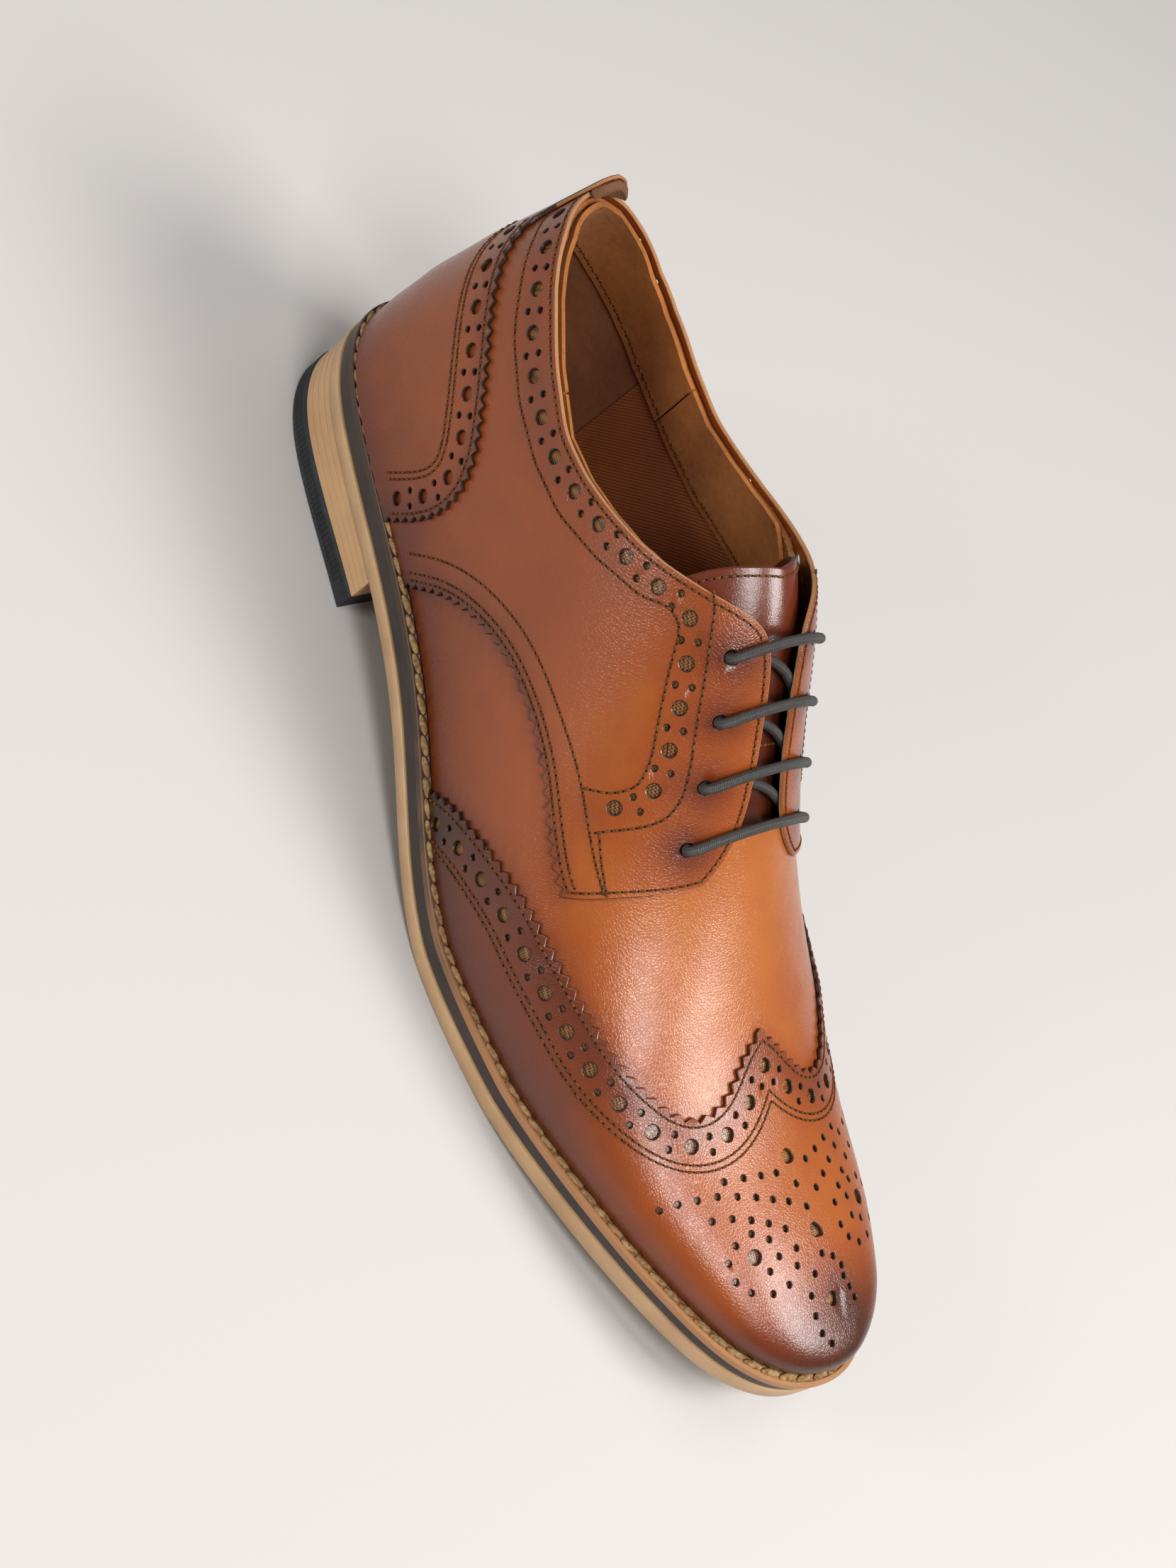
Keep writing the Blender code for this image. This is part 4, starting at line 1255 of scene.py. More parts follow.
def eyelet_holes(turn):
    return [(share, outer if turn is same else 2 - inner, EYELET_RIM)
            for share, outer, inner in EYELETS]


def quarter_outline():
    return joined(along((0.0005, 0), (QUARTER_EDGE[0][0], 0)), pinked(QUARTER_FOOT, 1.6 * MM),
                  walk(FACING_FRONT, 2 * MM), walk(TOP_OUTER, 2 * MM)[::-1],
                  along((0.0005, TOP_LINE[0][1]), (0.0005, 0)))


def quarter_shade(places):
    """Reddish at the back, lighter towards the facings, dark round the eyelets."""
    points = on_shoe(places)
    spots = on_shoe([hole[:2] for turn in (same, inner_of) for hole in eyelet_holes(turn)])
    nearest = np.linalg.norm(points[:, None] - spots[None], axis=2).min(1)
    rear = 1 - ramp(places[:, 0], 0.36, 0.50)
    edges = closeness(points, [QUARTER_FOOT, mirrored(QUARTER_FOOT)], 4 * MM)
    strips = closeness(points, [STRIP_HOLES, inner_of(STRIP_HOLES)], 6 * MM)
    return (0.25 + 0.12 * rear + 0.30 * edges + 0.10 * strips + 0.34 * near_welt(places, 0.12)
            + 0.42 * np.exp(-(nearest / (8 * MM)) ** 2) + 0.15 * np.exp(-places[:, 0] / 0.12))


def facing_lining(name, turn):
    """A thin backing behind the holes of the facing, where the wall stops below the laces."""
    share = np.linspace(0.392, 0.572, 60)
    top = np.interp(share, column(TOP_LINE, 0), column(TOP_LINE, 1)) - 0.012
    share, top = share[top > 0.665], top[top > 0.665]
    corners = joined(along((share[0], 0.642), (share[-1], 0.642)), np.stack([share, top], -1)[::-1])
    item = lasted(name, turn(corners), 0.02 * MM, 0.09 * MM, 3 * MM, [vamp_leather, cut_edge],
                  eyelet_holes(turn), even_tone(BLACK_BEHIND_HOLES), rim=0)
    settle(item, None)


def quarter(name, turn, node):
    holes = row_of_holes(smooth(STRIP_HOLES, 3 * MM), 2 * MM)
    holes = [(*turn(np.array([hole[:2]]))[0], hole[2]) for hole in holes]
    item = lasted(name, turn(quarter_outline()), OVERLAY_GAP, PANEL_TOP, PANEL_GRAIN,
                  [tan_leather, cut_edge, raw_edge], holes + eyelet_holes(turn), quarter_shade,
                  pale=[turn(TOP_OUTER), turn(FACING_FRONT[FACING_FRONT[:, 1] > 0.62])])
    settle(item, "quarter", node)


quarter("quarter_outer_fine", same, "quarter_outer")
quarter("quarter_inner_fine", inner_of, "quarter_inner")
facing_lining("facing_lining_outer", same)
facing_lining("facing_lining_inner", inner_of)

# %% [markdown]
# ## The wing cap
# The cap's rear edge has the shape of a W: a peak on the ridge and two long wings down the
# sides. It is pinked, followed by stitches and the row of holes, and the toe carries the
# medallion, a rosette of punched holes.

# %% Wing cap and medallion
MEDALLION_BIG = [(0.786, 1.0), (0.855, 0.995), (0.938, 0.865)]
MEDALLION_SIDE = (0.834, 0.612)
MEDALLION_SMALL = [
    (0.808, 0.990), (0.830, 0.995), (0.882, 0.975), (0.790, 0.915), (0.784, 0.840),
    (0.778, 0.760), (0.773, 0.670), (0.814, 0.915), (0.804, 0.845), (0.795, 0.775),
    (0.787, 0.695), (0.780, 0.610), (0.776, 0.515), (0.773, 0.420), (0.772, 0.320),
    (0.830, 0.835), (0.817, 0.770), (0.807, 0.700), (0.799, 0.620), (0.794, 0.525),
    (0.852, 0.840), (0.866, 0.795), (0.846, 0.730), (0.828, 0.730), (0.874, 0.690),
    (0.852, 0.640), (0.816, 0.665), (0.818, 0.560), (0.828, 0.470), (0.844, 0.435),
    (0.858, 0.470), (0.870, 0.575), (0.890, 0.870), (0.902, 0.765), (0.920, 0.685),
    (0.938, 0.600), (0.956, 0.540)]


def medallion():
    """Holes of the outer half, and the same ones on the other side of the toe's axis."""
    def axis(share):
        return 1 - 0.135 * float(ramp(share, 0.86, 0.94))

    holes = [(share, height, BIG_HOLE) for share, height in MEDALLION_BIG]
    halves = [(*MEDALLION_SIDE, BIG_HOLE)] + [(s, h, SMALL_HOLE) for s, h in MEDALLION_SMALL]
    for share, height, radius in halves:
        holes.append((share, height, radius))
        across = 2 * axis(share) - height
        if abs(across - height) > 0.06:
            holes.append((share, across, radius))
    return holes


def wing_outline():
    edge = pinked(WING_HALF, -1.7 * MM)
    return joined(edge, mirrored(edge), along((edge[0, 0], 2), (1, 2)), along((1, 2), (1, 1)),
                  along((1, 1), (1, 0)), along((1, 0), (edge[0, 0], 0)))


def wing_shade(places):
    points = on_shoe(places)
    toe = ramp(places[:, 0], 0.84, 1.0)
    side = 1 - ramp(places[:, 0], 0.60, 0.80)
    return (0.24 + 0.22 * closeness(points, [whole_wing(3 * MM)], 6 * MM) + 0.10 * side
            + 0.58 * near_welt(places, 0.24) + 0.64 * toe)


def wing_holes():
    half = whole_wing(7.4 * MM)
    half = half[: len(half) // 2 + 1][::-1]
    row = row_of_holes(half, 0)
    other = [(share, 2 - height, radius) for share, height, radius in row[1:]]
    return row + other


wing_cap = lasted("wing_cap_fine", wing_outline(), OVERLAY_GAP, PANEL_TOP, PANEL_GRAIN,
                  [tan_leather, cut_edge], wing_holes() + medallion(), wing_shade)
settle(wing_cap, "wing_cap", "wing_cap")

# %% [markdown]
# ## The heel counter
# A stiff counter covers the back seam and rises into the pull tab. It lies over both
# quarters, so it stands a leather's thickness further out.

# %% Heel counter
def counter_outline():
    side = np.concatenate([pinked(COUNTER_SIDE, 1.6 * MM), walk(TAB_SIDE, 2 * MM)])
    other = side[::-1] * (-1, 1)
    return joined(along((0, 0), side[0]), side, other, along(other[-1], (0, 0)))


def counter_shade(places):
    points = on_shoe(places)
    edges = [COUNTER_SIDE, COUNTER_SIDE * (-1, 1)]
    return (0.36 + 0.24 * closeness(points, edges, 5 * MM) + 0.30 * near_welt(places, 0.14)
            + 0.25 * ramp(places[:, 1], 0.42, 0.58))


def counter_holes():
    row = clipped(aside(COUNTER_SIDE, 6.2 * MM), 0.03, 0.6)
    holes = [hole for hole in row_of_holes(row, 3 * MM) if hole[0] > 0.02]
    return holes + [(-share, height, radius) for share, height, radius in holes]


COUNTER_LOW = 2 * OVERLAY_GAP + LEATHER
TAB_EDGE = np.concatenate([TAB_SIDE[6:], TAB_SIDE[::-1] * (-1, 1)])
heel_counter = lasted("heel_counter_fine", counter_outline(), COUNTER_LOW, COUNTER_LOW + LEATHER,
                      PANEL_GRAIN, [tan_leather, cut_edge, raw_edge], counter_holes(),
                      counter_shade, pale=[TAB_EDGE])
settle(heel_counter, "heel_counter", "heel_counter")

# %% [markdown]
# The pull tab is the counter's leather folded back on itself, so that its edge is three
# layers thick and shows raw fibres. A second sheet inside makes up that thickness.

# %% Folded tab
def folded_tab():
    side = np.array([(0.040, 0.562), (0.036, 0.580), (0.022, 0.596), (0.000, 0.601)])
    side = smooth(side, 2 * MM)
    fold = joined(side, side[::-1] * (-1, 1), along((-0.040, 0.562), (0.040, 0.562)))
    item = lasted("pull_tab_fold", fold, -1.2 * MM, COUNTER_LOW - 0.05 * MM, 1.6 * MM,
                  [raw_edge, raw_edge], shade=even_tone(1.0), rim=0.5 * MM)
    settle(item, "heel_counter")


folded_tab()

# %% [markdown]
# ## Linings
# Inside the collar the shoe is lined with brown leather, and further forward with an
# orange-brown twill. Both are thin sheets just inside the wall, so they share the collar's
# outline and only stand a little further in.

# %% Twill
def twill(name):
    material, tree, shader = new_finish(name, Roughness=0.85)
    place = on_object(tree)
    cloth = add_node(tree, "ShaderNodeAttribute", {}, output=1, attribute_name="cloth")
    lines = waves(tree, cloth, 620.0, "DIAGONAL", 1.0)
    shade = lines * 0.5 + noise(tree, place, 60, 3) * 0.5
    colour = dyed(tree, shade, [(0.2, (0.150, 0.042, 0.010)), (0.8, (0.360, 0.110, 0.026))])
    bump = relief(tree, 0.35, lines)
    feed(tree, shader, Base_Color=colour, Normal=bump)
    return material


lining_twill = twill("lining_twill")
print("twill:", lining_twill.name)

# %% [markdown]
# The sheets start and end where the linings are joined in the shoe: suede round the heel,
# twill along the sides, and a leather band under the collar that covers both their tops.

# %% Lining sheets
LINING_DEEP, LINING_BAND = -WALL - 0.1 * MM, -WALL - 0.9 * MM
LINING_TOP = 0.612
BAND_SEAM = [(0.000, 0.430), (0.044, 0.410), (0.079, 0.377), (0.110, 0.353), (0.144, 0.333),
             (0.179, 0.323), (0.208, 0.327), (0.252, 0.337), (0.300, 0.360), (0.342, 0.403),
             (0.375, 0.445), (0.460, 0.500), (0.560, 0.520)]


def lining_edge(side, start, end, below, table=None):
    """A path along the collar, or along the seam under it, at a height below it."""
    share = np.linspace(start, end, max(2, int((end - start) / 0.006)))
    rows = table or [(row[0], row[side]) for row in TOP_LINE]
    height = np.interp(share, column(rows, 0), column(rows, 1)) - below
    return np.stack([share, np.minimum(height, LINING_TOP)], -1)


def lining(name, high, finish, low_edge, top_edge, start, end, thick=0.6 * MM):
    """One sheet round the heel if it starts at 0, and otherwise one on each side."""
    (low_outer, top_outer), (low_inner, top_inner) = [
        [lining_edge(side, start, end, *edge) for edge in (low_edge, top_edge)]
        for side in (1, 2)]
    if start == 0:
        sheets = [("", np.concatenate([low_inner[::-1] * (-1, 1), low_outer[1:], top_outer[::-1],
                                       (top_inner * (-1, 1))[1:]]))]
    else:
        outer = np.concatenate([low_outer, top_outer[::-1]])
        inner = np.concatenate([low_inner, top_inner[::-1]])
        sheets = [("_outer", outer), ("_inner", flipped(inner))]
    for tag, corners in sheets:
        dense = joined(*[along(corners[k - 1], corners[k], 2 * MM)[1:]
                         for k in range(len(corners))])
        item = lasted(name + tag, dense, high - thick, high, 2.6 * MM, [finish, finish],
                      rim=0, shade=even_tone(0.5))
        settle(item, None)


NEAR_FLOOR, BAND_TOP = [(0, 0.03), (1, 0.03)], LINING_BAND + 0.7 * MM
for row in (("heel_lining", LINING_DEEP, heel_suede, (0, NEAR_FLOOR), (0.010, BAND_SEAM), 0, 0.192),
            ("side_lining", LINING_DEEP, lining_twill, (0, NEAR_FLOOR), (0.010, BAND_SEAM),
             0.193, 0.555),
            ("collar_lining", BAND_TOP, lining_leather, (0.012, BAND_SEAM), (0.004,), 0, 0.228,
             1.3 * MM),
            ("front_lining", BAND_TOP, lining_leather, (0.012, BAND_SEAM), (0.004,), 0.230, 0.555,
             1.1 * MM)):
    lining(*row)

# %% [markdown]
# ## The tongue
# The tongue is thicker, darker and glossier leather. It lies on the ridge beneath the
# lacing, and its top hem is turned and stitched.

# %% Tongue
TONGUE_ROOT, TONGUE_SIDE, TONGUE_DEPTH, TONGUE_THICK = 0.610, 0.620, 3.1 * MM, 1.8 * MM
TONGUE_EDGE = [(0.388, 0.620), (0.389, 0.660), (0.391, 0.700), (0.397, 0.779), (0.405, 0.870),
               (0.409, 0.940), (0.411, 1.000)]


def tongue_outline():
    top, other_side = smooth(TONGUE_EDGE, 3 * MM), 2 - TONGUE_SIDE
    return joined(along((TONGUE_ROOT, TONGUE_SIDE), (top[0, 0], TONGUE_SIDE)), top,
                  mirrored(top), along((top[0, 0], other_side), (TONGUE_ROOT, other_side)),
                  along((TONGUE_ROOT, other_side), (TONGUE_ROOT, TONGUE_SIDE)))


def tongue_shade(places):
    return 0.30 + 0.35 * ramp(places[:, 0], 0.42, 0.50)


tongue = lasted("tongue_fine", tongue_outline(), -TONGUE_DEPTH - TONGUE_THICK, -TONGUE_DEPTH,
                2.4 * MM, [tongue_leather, cut_edge], shade=tongue_shade, rim=0.4 * MM)
settle(tongue, "tongue", "tongue")
print("tongue:", len(tongue.data.polygons), "faces")

# %% [markdown]
# ## Sole layers
# The sole is a pile of layers cut to one outline: a light leather outsole, a dark midsole,
# the welt on top, and under the heel a stack of lifts on a rubber top lift. Each layer is
# an extruded outline whose edge is rounded or grooved, so one function lays rings of
# corners round the outline, one ring for each point of the edge's profile.

# %% Layers from an edge profile
def round_the_sole(count):
    turn = np.linspace(-1, 1, count, endpoint=False)
    return turn - 0.6 * np.sin(2 * math.pi * turn) / (2 * math.pi)


def ring_piece(name, rings, finishes, caps=True):
    """A solid from closed rings of corners, the first one at the top."""
    count, verts, faces = len(rings[0]), np.concatenate(rings), []
    for level in range(len(rings) - 1):
        for i in range(count):
            j = (i + 1) % count
            faces.append([level * count + i, level * count + j, (level + 1) * count + j,
                          (level + 1) * count + i])
    if caps:
        faces += [list(range(count))[::-1], list(range(len(verts) - count, len(verts)))]
    item = new_piece(name, verts, faces, finishes)
    work = bmesh.new()
    work.from_mesh(item.data)
    bmesh.ops.triangulate(work, faces=[face for face in work.faces if len(face.verts) > 4])
    bmesh.ops.recalc_face_normals(work, faces=work.faces)
    work.to_mesh(item.data)
    work.free()
    return item


def sole_ring(around, inset, height):
    """A ring round the sole; height(x) is its level at a station."""
    x, y, _, _ = outline(around, inset)
    return np.stack([x - HEEL_CENTRE, y, height(x)], -1)


def sole_layer(name, inset, low, high, profile, finishes):
    """Profile rows are (distance in from the edge, share of the layer's height)."""
    around = round_the_sole(300)
    rings = [sole_ring(around, inset + back, lambda x, s=share: low(x) + (high(x) - low(x)) * s)
             for back, share in profile]
    return ring_piece(name, rings, finishes)


print("places round the sole:", len(round_the_sole(300)))

# %% [markdown]
# The cut edges of the layers are pale, inked or burnished, and all show fine lines along
# them. They share one finish, and differ in its two colours and in how clear the lines are.

# %% Finishes of the edges
def edge_finish(name, dark, light, lines=0.0, roughness=0.5, coat=0.25, scale=60, towards_toe=0.0):
    material, tree, shader = new_finish(name, Coat_Weight=coat, Coat_Roughness=0.25)
    place = on_object(tree)
    stretch = add_node(tree, "ShaderNodeVectorMath", {0: place, 1: (0.12, 0.12, 1.6)},
                       operation="MULTIPLY")
    layers = noise(tree, stretch, 900, 3, 0.6)
    blotch = noise(tree, place, scale, 4)
    tone = blotch * (1 - lines) + layers * lines
    if towards_toe:
        onward = add_node(tree, "ShaderNodeSeparateXYZ", {0: place})
        share = ((onward - 0.06) / 0.14).clamped()
        tone = tone * 0.5 + share * towards_toe - 0.05
    colour = dyed(tree, tone, [(0.32, dark), (0.68, light)])
    bump = relief(tree, 0.35, layers + noise(tree, place, 1500, 2) * 0.5)
    rough = (blotch - 0.5) * 0.2 + roughness
    feed(tree, shader, Base_Color=colour, Normal=bump, Roughness=rough)
    return material


outsole_finish = edge_finish("outsole_edge", (0.38, 0.225, 0.105), (0.50, 0.315, 0.165), lines=0.3)
midsole_finish = edge_finish("midsole_edge", (0.012, 0.007, 0.005), (0.034, 0.019, 0.012),
                             lines=0.3)
welt_finish = edge_finish("welt_leather", (0.040, 0.016, 0.006), (0.330, 0.150, 0.055),
                          towards_toe=0.6)
stack_finish = edge_finish("heel_lifts", (0.47, 0.275, 0.130), (0.55, 0.335, 0.165), lines=0.10)
rubber_finish = edge_finish("rubber", (0.010, 0.011, 0.012), (0.022, 0.024, 0.026),
                            roughness=0.72, coat=0.0, scale=200)

print("edges:", outsole_finish.name, midsole_finish.name, welt_finish.name)

# %% [markdown]
# The outsole keeps its light edge, rounded above and below. The dark midsole over it is a
# little smaller, and the line between them rises towards the toe.

# %% Outsole and midsole
SOFT_EDGE = [(0.9 * MM, 1.0), (0.3 * MM, 0.97), (0, 0.86), (0, 0.14), (0.3 * MM, 0.03),
             (0.9 * MM, 0.0)]
TOE_THICKER = 1.4 * MM


def dark_line(x):
    """Where the light outsole ends and the dark midsole starts. It rises towards the toe."""
    return (underside(x) + OUTSOLE_THICK
            + TOE_THICKER * ramp(x, 0.5 * SOLE_LENGTH, 0.9 * SOLE_LENGTH))


outsole = sole_layer("outsole_fine", 0, underside, dark_line, SOFT_EDGE, [outsole_finish])
settle(outsole, "outsole", "outsole")
midsole = sole_layer("midsole_fine", MIDSOLE_STEP, dark_line,
                     lambda x: underside(x) + MIDSOLE_LOW + MIDSOLE_THICK + GAP,
                     [(0.7 * MM, 1.0), (0.15 * MM, 0.95), (0, 0.85), (0, 0.15), (0.5 * MM, 0.05),
                      (0.7 * MM, 0.0)], [midsole_finish])
settle(midsole, "midsole", "midsole")

# %% [markdown]
# ## The welt
# The welt is a band of brown leather sewn on all round. A shallow groove is cut along its
# top, and the thick waxed stitches lie in it like a rope.

# %% Welt
WELT_TOP = WELT_LOW + WELT_THICK
WELT_STITCH, WELT_PITCH = (5.6 * MM, 2.2 * MM, 1.3 * MM), 5.2 * MM
ROPE_LEAN = math.radians(12)
STITCH_INSET = Spline(np.array([0, 0.30, 0.55, 0.80, 1.0]) * SOLE_LENGTH,
                      [1.5 * MM, 1.6 * MM, 1.9 * MM, 2.3 * MM, 2.5 * MM])


def stitch_line(around):
    """How far the stitches lie inside the welt's edge."""
    return STITCH_INSET(np.clip(outline(around)[0], 0, SOLE_LENGTH))


def welt():
    """The band's section is followed round the outline, and closed on itself."""
    around = round_the_sole(420)
    groove = stitch_line(around)
    section = [(WELT_BAND, 1.0), (groove + 1.3 * MM, 1.0), (groove + 0.9 * MM, 0.80),
               (groove - 0.9 * MM, 0.80), (groove - 1.2 * MM, 0.97), (0.2 * MM, 0.93),
               (0.05 * MM, 0.85), (0, 0.75), (0, 0.12), (0.4 * MM, 0.0), (WELT_BAND, 0.0),
               (WELT_BAND, 1.0)]
    rings = [sole_ring(around, back, lambda x, s=share: underside(x) + WELT_LOW + WELT_THICK * s)
             for back, share in section]
    item = ring_piece("welt_fine", rings, [welt_finish], caps=False)
    merged(item)
    settle(item, "welt", "welt")


def welt_stitches():
    """Thick stitches in the groove, each a little oblique as in a twisted rope."""
    around = np.linspace(-1, 1, 4001)
    x, y, _, _ = outline(around, stitch_line(around))
    length = np.concatenate([[0], np.cumsum(np.hypot(np.diff(x), np.diff(y)))])
    count = int(round(length[-1] / WELT_PITCH))
    marks = (np.arange(count) + 0.5) * length[-1] / count
    at = np.interp(marks, length, around)
    inset = stitch_line(at)
    points = sole_ring(at, inset, lambda x: underside(x) + WELT_TOP - 0.15 * MM)
    ahead = sole_ring(at + 0.002, inset, underside) - sole_ring(at - 0.002, inset, underside)
    ahead /= np.linalg.norm(ahead, axis=1, keepdims=True)
    side = np.cross([0, 0, 1], ahead)
    form = bead(8, 6)
    beads_along("welt_stitches", [
        (form, WELT_STITCH, 0, points[i], *turned_by(ROPE_LEAN, ahead[i], side[i]),
         np.array([0, 0, 1])) for i in range(count)], [welt_thread])


welt()
welt_stitches()

# %% [markdown]
# ## The heel
# Lifts of leather are stacked and sanded flush, which leaves fine lines between them. The
# rubber lift below has a ribbed back, which is real relief: its outline goes in and out.

# %% Heel stack and top lift
LIFTS = 4


def heel_ring(count, inset, height, ribs=0.0):
    """A ring round the heel with a straight breast, followed from breast to breast."""
    ends = [np.interp(HEEL_LENGTH, outline(side * np.linspace(0, 0.5, 400))[0],
                      np.linspace(0, 0.5, 400)) for side in (-1, 1)]
    around = np.linspace(-ends[0], ends[1], count)
    wave = ribs * 0.5 * (1 - np.cos(np.arange(count) * math.pi))
    wave = wave * ramp(0.28 - np.abs(around), 0, 0.05)
    x, y, _, _ = outline(around, inset + wave)
    steps = np.linspace(0, 1, 14)[1:-1]
    breast_x = np.full(len(steps), HEEL_LENGTH) - 1.2 * MM * np.sin(steps * math.pi)
    breast_y = y[-1] + (y[0] - y[-1]) * steps
    x, y = np.concatenate([x, breast_x]), np.concatenate([y, breast_y])
    return np.stack([x - HEEL_CENTRE, y, height(x)], -1)


def heel_stack():
    rings = []
    for lift in range(LIFTS):
        for back, share in [(0.35 * MM, 0.0), (0, 0.10), (0, 0.90), (0.35 * MM, 1.0)]:
            level = (lift + share) / LIFTS
            rings.append(heel_ring(170, HEEL_STEP + back, lambda x, s=level: underside(x)
                                   - (underside(x) - TOP_LIFT_THICK) * s))
    item = ring_piece("heel_stack_fine", rings, [stack_finish])
    settle(item, "heel_stack", "heel_stack", angle=30)


def top_lift():
    profile = [(0.5 * MM, 1.0, 0), (0, 0.93, 0), (0, 0.80, 0), (0.0, 0.76, 0.55 * MM),
               (0.0, 0.20, 0.55 * MM), (0, 0.14, 0), (0, 0.06, 0), (0.5 * MM, 0.0, 0)]
    rings = [heel_ring(241, back, lambda x, s=share: TOP_LIFT_THICK * s + 0 * x, ribs)
             for back, share, ribs in profile]
    item = ring_piece("top_lift_fine", rings, [rubber_finish])
    settle(item, "top_lift", "top_lift", angle=30)


heel_stack()
top_lift()

# %% [markdown]
# ## Insole
# The foot rests on a leather sock glued over the insole board. It is one layer with the
# outline of the last's bottom.

# %% Insole
def insole():
    inside = WELT_SHOWN_TOE + WALL + 3 * GAP
    around = round_the_sole(200)
    inset = inside + 10 * MM * ramp(np.abs(around), 0.8, 1)
    profile = [(1.2 * MM, INSOLE_THICK), (0.3 * MM, INSOLE_THICK - 0.3 * MM), (0, 1.5 * MM), (0, 0)]
    rings = [sole_ring(around, inset + back, lambda x, r=rise: underside(x) + FEATHER + r)
             for back, rise in profile]
    item = ring_piece("insole_fine", rings, [lining_leather])
    settle(item, "insole", "insole")


insole()

# %% [markdown]
# ## The lace
# One round waxed lace crosses four times over the facings. Blender's curves with a round
# bevel are made for this, and the curve is turned into a mesh, which then carries the
# braid as relief. It keeps to the route of the solid one, and both of its ends stop under
# the facings.

# %% Route of the lace
LACE_RADIUS, LACE_OVER = 1.3 * MM, 3.3 * MM
IN_HOLE, OUT_OF_HOLE = -0.3 * MM, LACE_OVER - 1.0 * MM  # heights beside an eyelet
BAR_REACH, END_REACH = 0.022, 0.036  # how far a bar, or an end, stays from its eyelet
WAVE_TURN = 2 * math.pi / 10  # how far apart the wave texture sets its bands
BANDS_ALONG, BANDS_ROUND = 900 * WAVE_TURN, 4 * WAVE_TURN


def across(start, end, offset):
    """Points over the ridge between two places."""
    return on_shoe(np.linspace(start, end, 9), offset)


def lace_route():
    points = [on_shoe([(EYELETS[0][0], 2 - EYELETS[0][2] + END_REACH)], -LACE_RADIUS)]
    for row, (share, outer, inner) in enumerate(EYELETS):
        inner_hole, outer_hole = (share, 2 - inner), (share, outer)
        points.append(on_shoe([inner_hole], IN_HOLE))
        points.append(on_shoe([inner_hole], OUT_OF_HOLE))
        points.append(across((share, 2 - inner - BAR_REACH), (share, outer + BAR_REACH), LACE_OVER))
        points.append(on_shoe([outer_hole], OUT_OF_HOLE))
        points.append(on_shoe([outer_hole], IN_HOLE))
        if row + 1 < len(EYELETS):
            below = EYELETS[row + 1]
            points.append(across((share, outer + BAR_REACH), (below[0], 2 - below[2] - BAR_REACH),
                                 -LACE_RADIUS))
    points += [on_shoe([(share, outer - END_REACH)], -LACE_RADIUS)
               for share, outer, _ in EYELETS[::-1]]
    return np.concatenate(points)


print("knots of the lace's route:", len(lace_route()))

# %% [markdown]
# The braid shows as small diamonds. Two wave textures, slanted either way over the lace's
# own surface, cross to make them. Modelled strands would take far more faces.

# %% Braided finish
def lace_finish():
    material, tree, shader = new_finish("waxed_lace", Roughness=0.5)
    uv = add_node(tree, "ShaderNodeTexCoord", {}, output=2)
    braid = []
    for turn in (BANDS_ROUND, -BANDS_ROUND):
        spot = add_node(tree, "ShaderNodeVectorMath", {0: uv, 1: (BANDS_ALONG, turn, 0.0)},
                        operation="MULTIPLY")
        braid.append(waves(tree, spot, 1.0, "DIAGONAL"))
    weave = braid[0].math("MAXIMUM", braid[0], braid[1])
    fibres = noise(tree, on_object(tree), 1500, 3)
    colour = dyed(tree, weave * 0.5 + fibres * 0.5,
                  [(0.3, (0.012, 0.011, 0.011)), (0.8, (0.062, 0.057, 0.053))])
    bump = relief(tree, 0.7, weave + fibres * 0.6)
    feed(tree, shader, Base_Color=colour, Normal=bump)
    return material


braided = lace_finish()
print("lace finish:", braided.name)

# %% [markdown]
# The route becomes a Bezier curve with automatic handles, which bends it softly from
# eyelet to eyelet.

# %% Lace
def make_lace():
    route = lace_route()
    curve = bpy.data.curves.new("lace_fine", "CURVE")
    curve.dimensions, curve.bevel_depth, curve.bevel_resolution = "3D", LACE_RADIUS, 4
    curve.use_fill_caps, curve.resolution_u = True, 6
    strand = curve.splines.new("BEZIER")
    strand.bezier_points.add(len(route) - 1)
    for knot, point in zip(strand.bezier_points, route):
        knot.co = point
        knot.handle_left_type = knot.handle_right_type = "AUTO"
    item = bpy.data.objects.new("lace_fine", curve)
    bpy.context.scene.collection.objects.link(item)
    pick(item)
    bpy.ops.object.convert(target="MESH")
    item = bpy.context.object
    item.data.materials.append(braided)
    settle(item, "lace", "lace", angle=60)


make_lace()

# %% [markdown]
# ## Sewing it together
# Every panel is sewn down beside its edge, and most seams are double. The rows lie on the
# leather they hold, so each knows how high that leather stands above the last.

# %% All the seams
THREAD_LIFT = 0.05 * MM
ON_PANEL, ON_COUNTER = PANEL_TOP + THREAD_LIFT, COUNTER_LOW + LEATHER + THREAD_LIFT
ON_TONGUE = -TONGUE_DEPTH + THREAD_LIFT


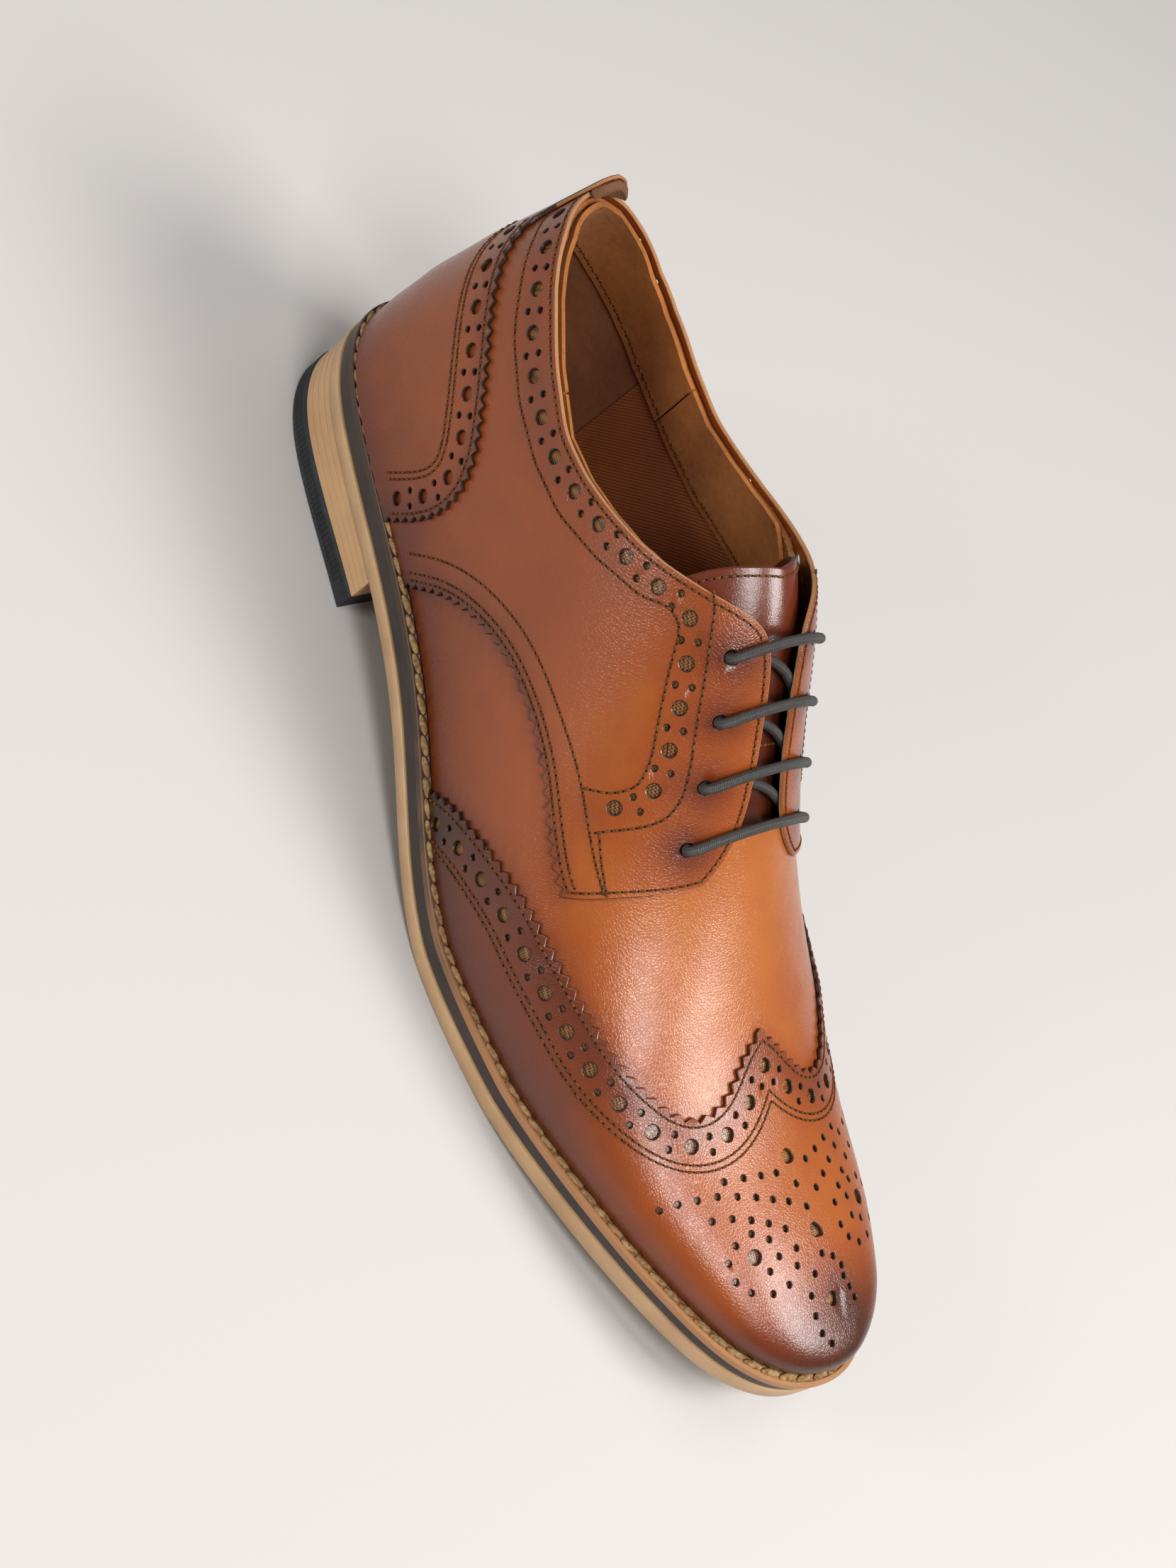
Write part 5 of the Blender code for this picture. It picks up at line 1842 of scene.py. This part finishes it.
def both_sides(path):
    return [path, inner_of(path)]


def quarter_rows():
    first, second, third = [clipped(aside(QUARTER_FOOT, distance * MM), 0.02, 0.9)
                            for distance in (2.4, 4.2, 9.0)]
    rows = both_sides(first) + both_sides(second)
    third = np.concatenate([third[third[:, 0] < 0.44], [(0.465, 0.428), (0.488, 0.449),
                                                         (0.515, 0.463), (0.543, 0.476),
                                                         (0.562, 0.486)]])
    rows += both_sides(smooth(third, 3 * MM)) + both_sides(np.array(CORNER_BOX))
    rows += both_sides(clipped(aside(TOP_OUTER, -1.5 * MM), 0.0, 0.99))
    front = aside(FACING_FRONT, 1.5 * MM)
    rows += both_sides(front[front[:, 1] > 0.385])
    rows += both_sides(smooth(STRIP_EDGE, 2 * MM)) + both_sides(smooth(STRIP_INSIDE, 2 * MM))
    return [(row, ON_PANEL) for row in rows]


def wing_rows():
    return [(whole_wing(distance * MM), ON_PANEL) for distance in (2.6, 12.2, 14.0)]


def counter_rows():
    rows = []
    for distance in (2.4, 11.0, 12.7):
        side = clipped(aside(COUNTER_SIDE, distance * MM), 0.02, 0.7)
        side = side[side[:, 0] > 0.004]
        rows += [side, side * (-1, 1)]
    return [(row, ON_COUNTER) for row in rows]


def tongue_rows():
    top = smooth(TONGUE_EDGE, 3 * MM)
    hem = aside(np.concatenate([top, mirrored(top)[1:]]), -2.2 * MM)
    seam = np.array([(0.502, 0.70), (0.506, 0.85), (0.507, 1.0), (0.506, 1.15), (0.502, 1.30)])
    return [(hem, ON_TONGUE), (seam, ON_TONGUE), (seam + (0.008, 0), ON_TONGUE)]


def lining_rows():
    band = np.array([row for row in BAND_SEAM if row[0] < 0.38]) + (0, 0.004)
    whole = np.concatenate([band[::-1] * (-1, 1), band[1:]])
    return [(whole, LINING_BAND - 0.65 * MM)]


stitched("quarter_stitches", quarter_rows())
stitched("wing_stitches", wing_rows())
stitched("counter_stitches", counter_rows())
stitched("tongue_stitches", tongue_rows())
stitched("lining_stitches", lining_rows(), 2.6 * MM)
